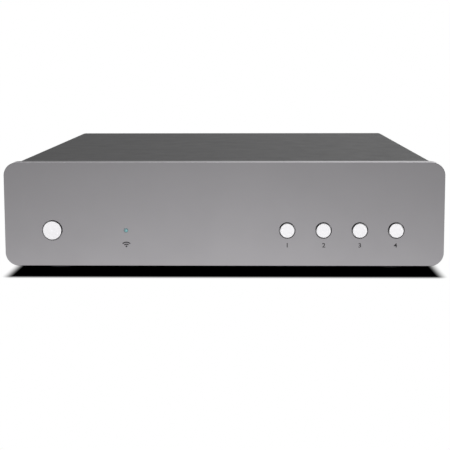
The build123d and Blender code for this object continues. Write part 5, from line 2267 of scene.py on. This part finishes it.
@dataclass(frozen=True)
class Studio:
    """The pale floor, the white surroundings and the lamps."""

    floor_half: float = 4000.0
    floor_grey: float = 0.8
    floor_roughness: float = 0.9
    # The painted shadow on the floor under the case: its softness, its lead ahead of the panel, its inset at
    # the sides and how much sharper it is from front to back.
    shadow_soft: float = 3.0
    shadow_lead: float = 2.2
    shadow_inset: float = 0.6
    shadow_narrow: float = 1.08
    under_light: float = 0.3
    world_light: float = 0.47
    room_gloss: float = 0.42
    room_corner: float = 0.5
    wall_dark: float = 0.3
    high_gloss: float = 0.6
    sky_gloss: float = 1.0
    far_floor: float = 0.45
    pool: Pair = (120.0, 800.0)
    pool_oval: float = 2.4
    lamps: tuple[Lamp, ...] = (
        Lamp("front_lamp", (0, -1000, 160), (0, 0, 20), (500, 240), 4.5, False),
        Lamp("top_lamp", (420, 0, 400), (0, 0, 20), (300, 300), 0.95),
    )

    def build(self) -> list[Object]:
        """Lay the floor, set the world and hang the lamps."""
        self.world()
        return [self.floor(), *(lamp.build() for lamp in self.lamps)]

    def world(self) -> None:
        """Make the surroundings white where they are seen, and softer where they light the object.

        Metal sees the backdrop behind the object, white on the right and darker on the left, the
        dimmer room behind the camera, and a ceiling between the two with a skylight in it.
        """
        world = bpy.data.worlds.new("studio")
        bpy.context.scene.world = world
        world.use_nodes = True
        wiring = Wiring(world.node_tree)
        rays = wiring.add("ShaderNodeLightPath").outputs
        way = wiring.add("ShaderNodeTexCoord").outputs["Generated"]
        x, y, z = wiring.add("ShaderNodeSeparateXYZ", {0: way}).outputs
        overhead = wiring.span(z, 0.1, 0.6, 1.0, self.high_gloss)
        corner = self.room_gloss * self.room_corner
        room = wiring.span(wiring.math("ABSOLUTE", x), 0.0, 0.6, self.room_gloss, corner)
        backdrop = wiring.span(x, -0.2, 0.1, self.wall_dark, 1.0)
        around = wiring.span(y, -0.3, 0.3, room, backdrop)
        mirrored = wiring.math("MAXIMUM", rays["Is Glossy Ray"], rays["Is Transmission Ray"])
        sky = wiring.span(z, 0.6, 0.9, 0.0, self.sky_gloss)
        reflected = wiring.math("MULTIPLY_ADD", overhead, around, sky)
        level = wiring.span(mirrored, 0.0, 1.0, self.world_light, reflected)
        shown = wiring.span(rays["Is Camera Ray"], 0.0, 1.0, level, 1.0)
        wiring.feed(world.node_tree.nodes["Background"], {"Color": (1, 1, 1, 1), "Strength": shown})

    def floor(self) -> Object:
        """Lay a floor that is white where it is seen, apart from a painted shadow under the case.

        The camera, mirrored rays and rays through glass see its own light. The rest see its paint.

        Returns:
            The floor.
        """
        half, far = self.floor_half * MM, 3 * self.floor_half * MM
        data = bpy.data.meshes.new("floor")
        corners = [(-half, -half, 0), (far, -half, 0), (far, half, 0), (-half, half, 0)]
        data.from_pydata(corners, [], [(0, 1, 2, 3)])
        paint = bpy.data.materials.new("studio_floor")
        paint.use_nodes = True
        data.materials.append(paint)
        wiring, nodes = Wiring(paint.node_tree), paint.node_tree.nodes
        place = wiring.add("ShaderNodeTexCoord").outputs["Object"]
        rays = wiring.add("ShaderNodeLightPath").outputs
        shadow, shader = self.shadow(wiring, place), nodes["Principled BSDF"]
        # Under the painted shadow the floor glows a little for the other rays, which lights the case from
        # below.
        wiring.feed(shader, {
            "Base Color": (*(self.floor_grey,) * 3, 1), "Roughness": self.floor_roughness,
            "Emission Color": (1, 1, 1, 1),
            "Emission Strength": wiring.span(shadow, 0.0, 1.0, self.under_light, 0.0),
        })
        # Seen rays get white light, with the painted shadow dark under the case.
        level = wiring.math("MULTIPLY", shadow, self.light_pool(wiring, place, rays["Is Camera Ray"]))
        white = wiring.out("ShaderNodeEmission", {"Color": (1, 1, 1, 1), "Strength": level})
        seen = wiring.math("MAXIMUM", rays["Is Camera Ray"], rays["Is Glossy Ray"])
        seen = wiring.math("MAXIMUM", seen, rays["Is Transmission Ray"])
        lit = wiring.out("ShaderNodeMixShader", {0: seen, 1: shader.outputs[0], 2: white})
        clear = wiring.out("ShaderNodeBsdfTransparent")
        back = wiring.add("ShaderNodeNewGeometry").outputs["Backfacing"]
        both = wiring.out("ShaderNodeMixShader", {0: back, 1: lit, 2: clear})
        wiring.feed(nodes["Material Output"], {"Surface": both})
        floor = linked("floor", data)
        return floor

    def shadow(self, wiring: Wiring, place: Link) -> Link:
        """Return the painted shadow: 0 on the floor under the case and 1 beyond its soft edge.

        Args:
            wiring: The floor's wiring.
            place: The floor's coordinates.

        Returns:
            The value.
        """
        soft, narrow = self.shadow_soft * MM, self.shadow_narrow
        front, back = cad_box[0].y - self.shadow_lead * MM, Span.of("top_cover").high.y * MM
        core = (cad_box[1].x - self.shadow_inset * MM - soft, (back - front) / 2 - soft / narrow, 0.0)
        centred = wiring.vector("SUBTRACT", place, (0.0, (front + back) / 2, 0.0))
        beyond = wiring.vector("SUBTRACT", wiring.vector("ABSOLUTE", centred), core)
        away = wiring.length(wiring.vector("MAXIMUM", beyond, (0, 0, 0)), (1, narrow, 0))
        inputs = {0: away, 1: 0.0, 2: 2 * soft, 3: 0.0, 4: 1.0}
        return wiring.out("ShaderNodeMapRange", inputs, interpolation_type="SMOOTHSTEP")

    def light_pool(self, wiring: Wiring, place: Link, camera: Link) -> Link:
        """Return 1 where the camera sees the floor. In mirrored rays the floor dims with distance.

        Args:
            wiring: The floor's wiring.
            place: The floor's coordinates.
            camera: 1 for the camera's rays.

        Returns:
            The value.
        """
        near, far = (value * MM for value in self.pool)
        away = wiring.length(place, (self.pool_oval, 1, 0))
        return wiring.math("MAXIMUM", camera, wiring.span(away, near, far, 1.0, self.far_floor))


@dataclass(frozen=True)
class PhotoCamera:
    """The camera at the photograph's viewing angle, in millimetres and degrees."""

    place: Triple = (12.99, -528.13, 105.14)
    pitch: float = 5.548
    yaw: float = 0.901
    roll: float = -0.126
    lens: float = 71.901
    sensor: float = 36.0
    shift: Pair = (-0.025, -0.17)

    def build(self) -> list[Object]:
        """Stand the camera and make it the scene's.

        Returns:
            The camera.
        """
        data = bpy.data.cameras.new("photo_camera")
        data.lens, data.sensor_width = self.lens, self.sensor
        data.shift_x, data.shift_y = self.shift
        data.dof.use_dof = False
        camera = linked("photo_camera", data)
        stand = Matrix.Translation(Vector(self.place) * MM)
        for angle, axis in ((self.yaw, "Z"), (90.0 - self.pitch, "X"), (self.roll, "Z")):
            stand = stand @ Matrix.Rotation(math.radians(angle), 4, axis)
        camera.matrix_world = stand
        bpy.context.scene.camera = camera
        return [camera]


def main() -> None:
    """Build every sub-assembly in order and report its pieces."""
    logging.basicConfig(level=logging.INFO, format="%(message)s")
    bpy.context.scene.view_settings.view_transform = "Standard"
    assemblies = [
        Fascia(), Markings(), FrontButtons(), StatusLight(),
        Tray(), TopCover(), RearPanel(), CaseScrews(), Feet(),
        NetworkSocket(), MediaSocket(), OpticalSocket(), PhonoSockets(), AerialSockets(), MainsInlet(),
        CarriedOver(), Studio(), PhotoCamera(),
    ]
    for assembly in assemblies:
        for piece in assembly.build():
            faces = len(piece.data.polygons) if piece.type == "MESH" else 0
            LOG.info("%s: %s, %d faces", type(assembly).__name__, piece.name, faces)


if __name__ == "__main__":
    main()
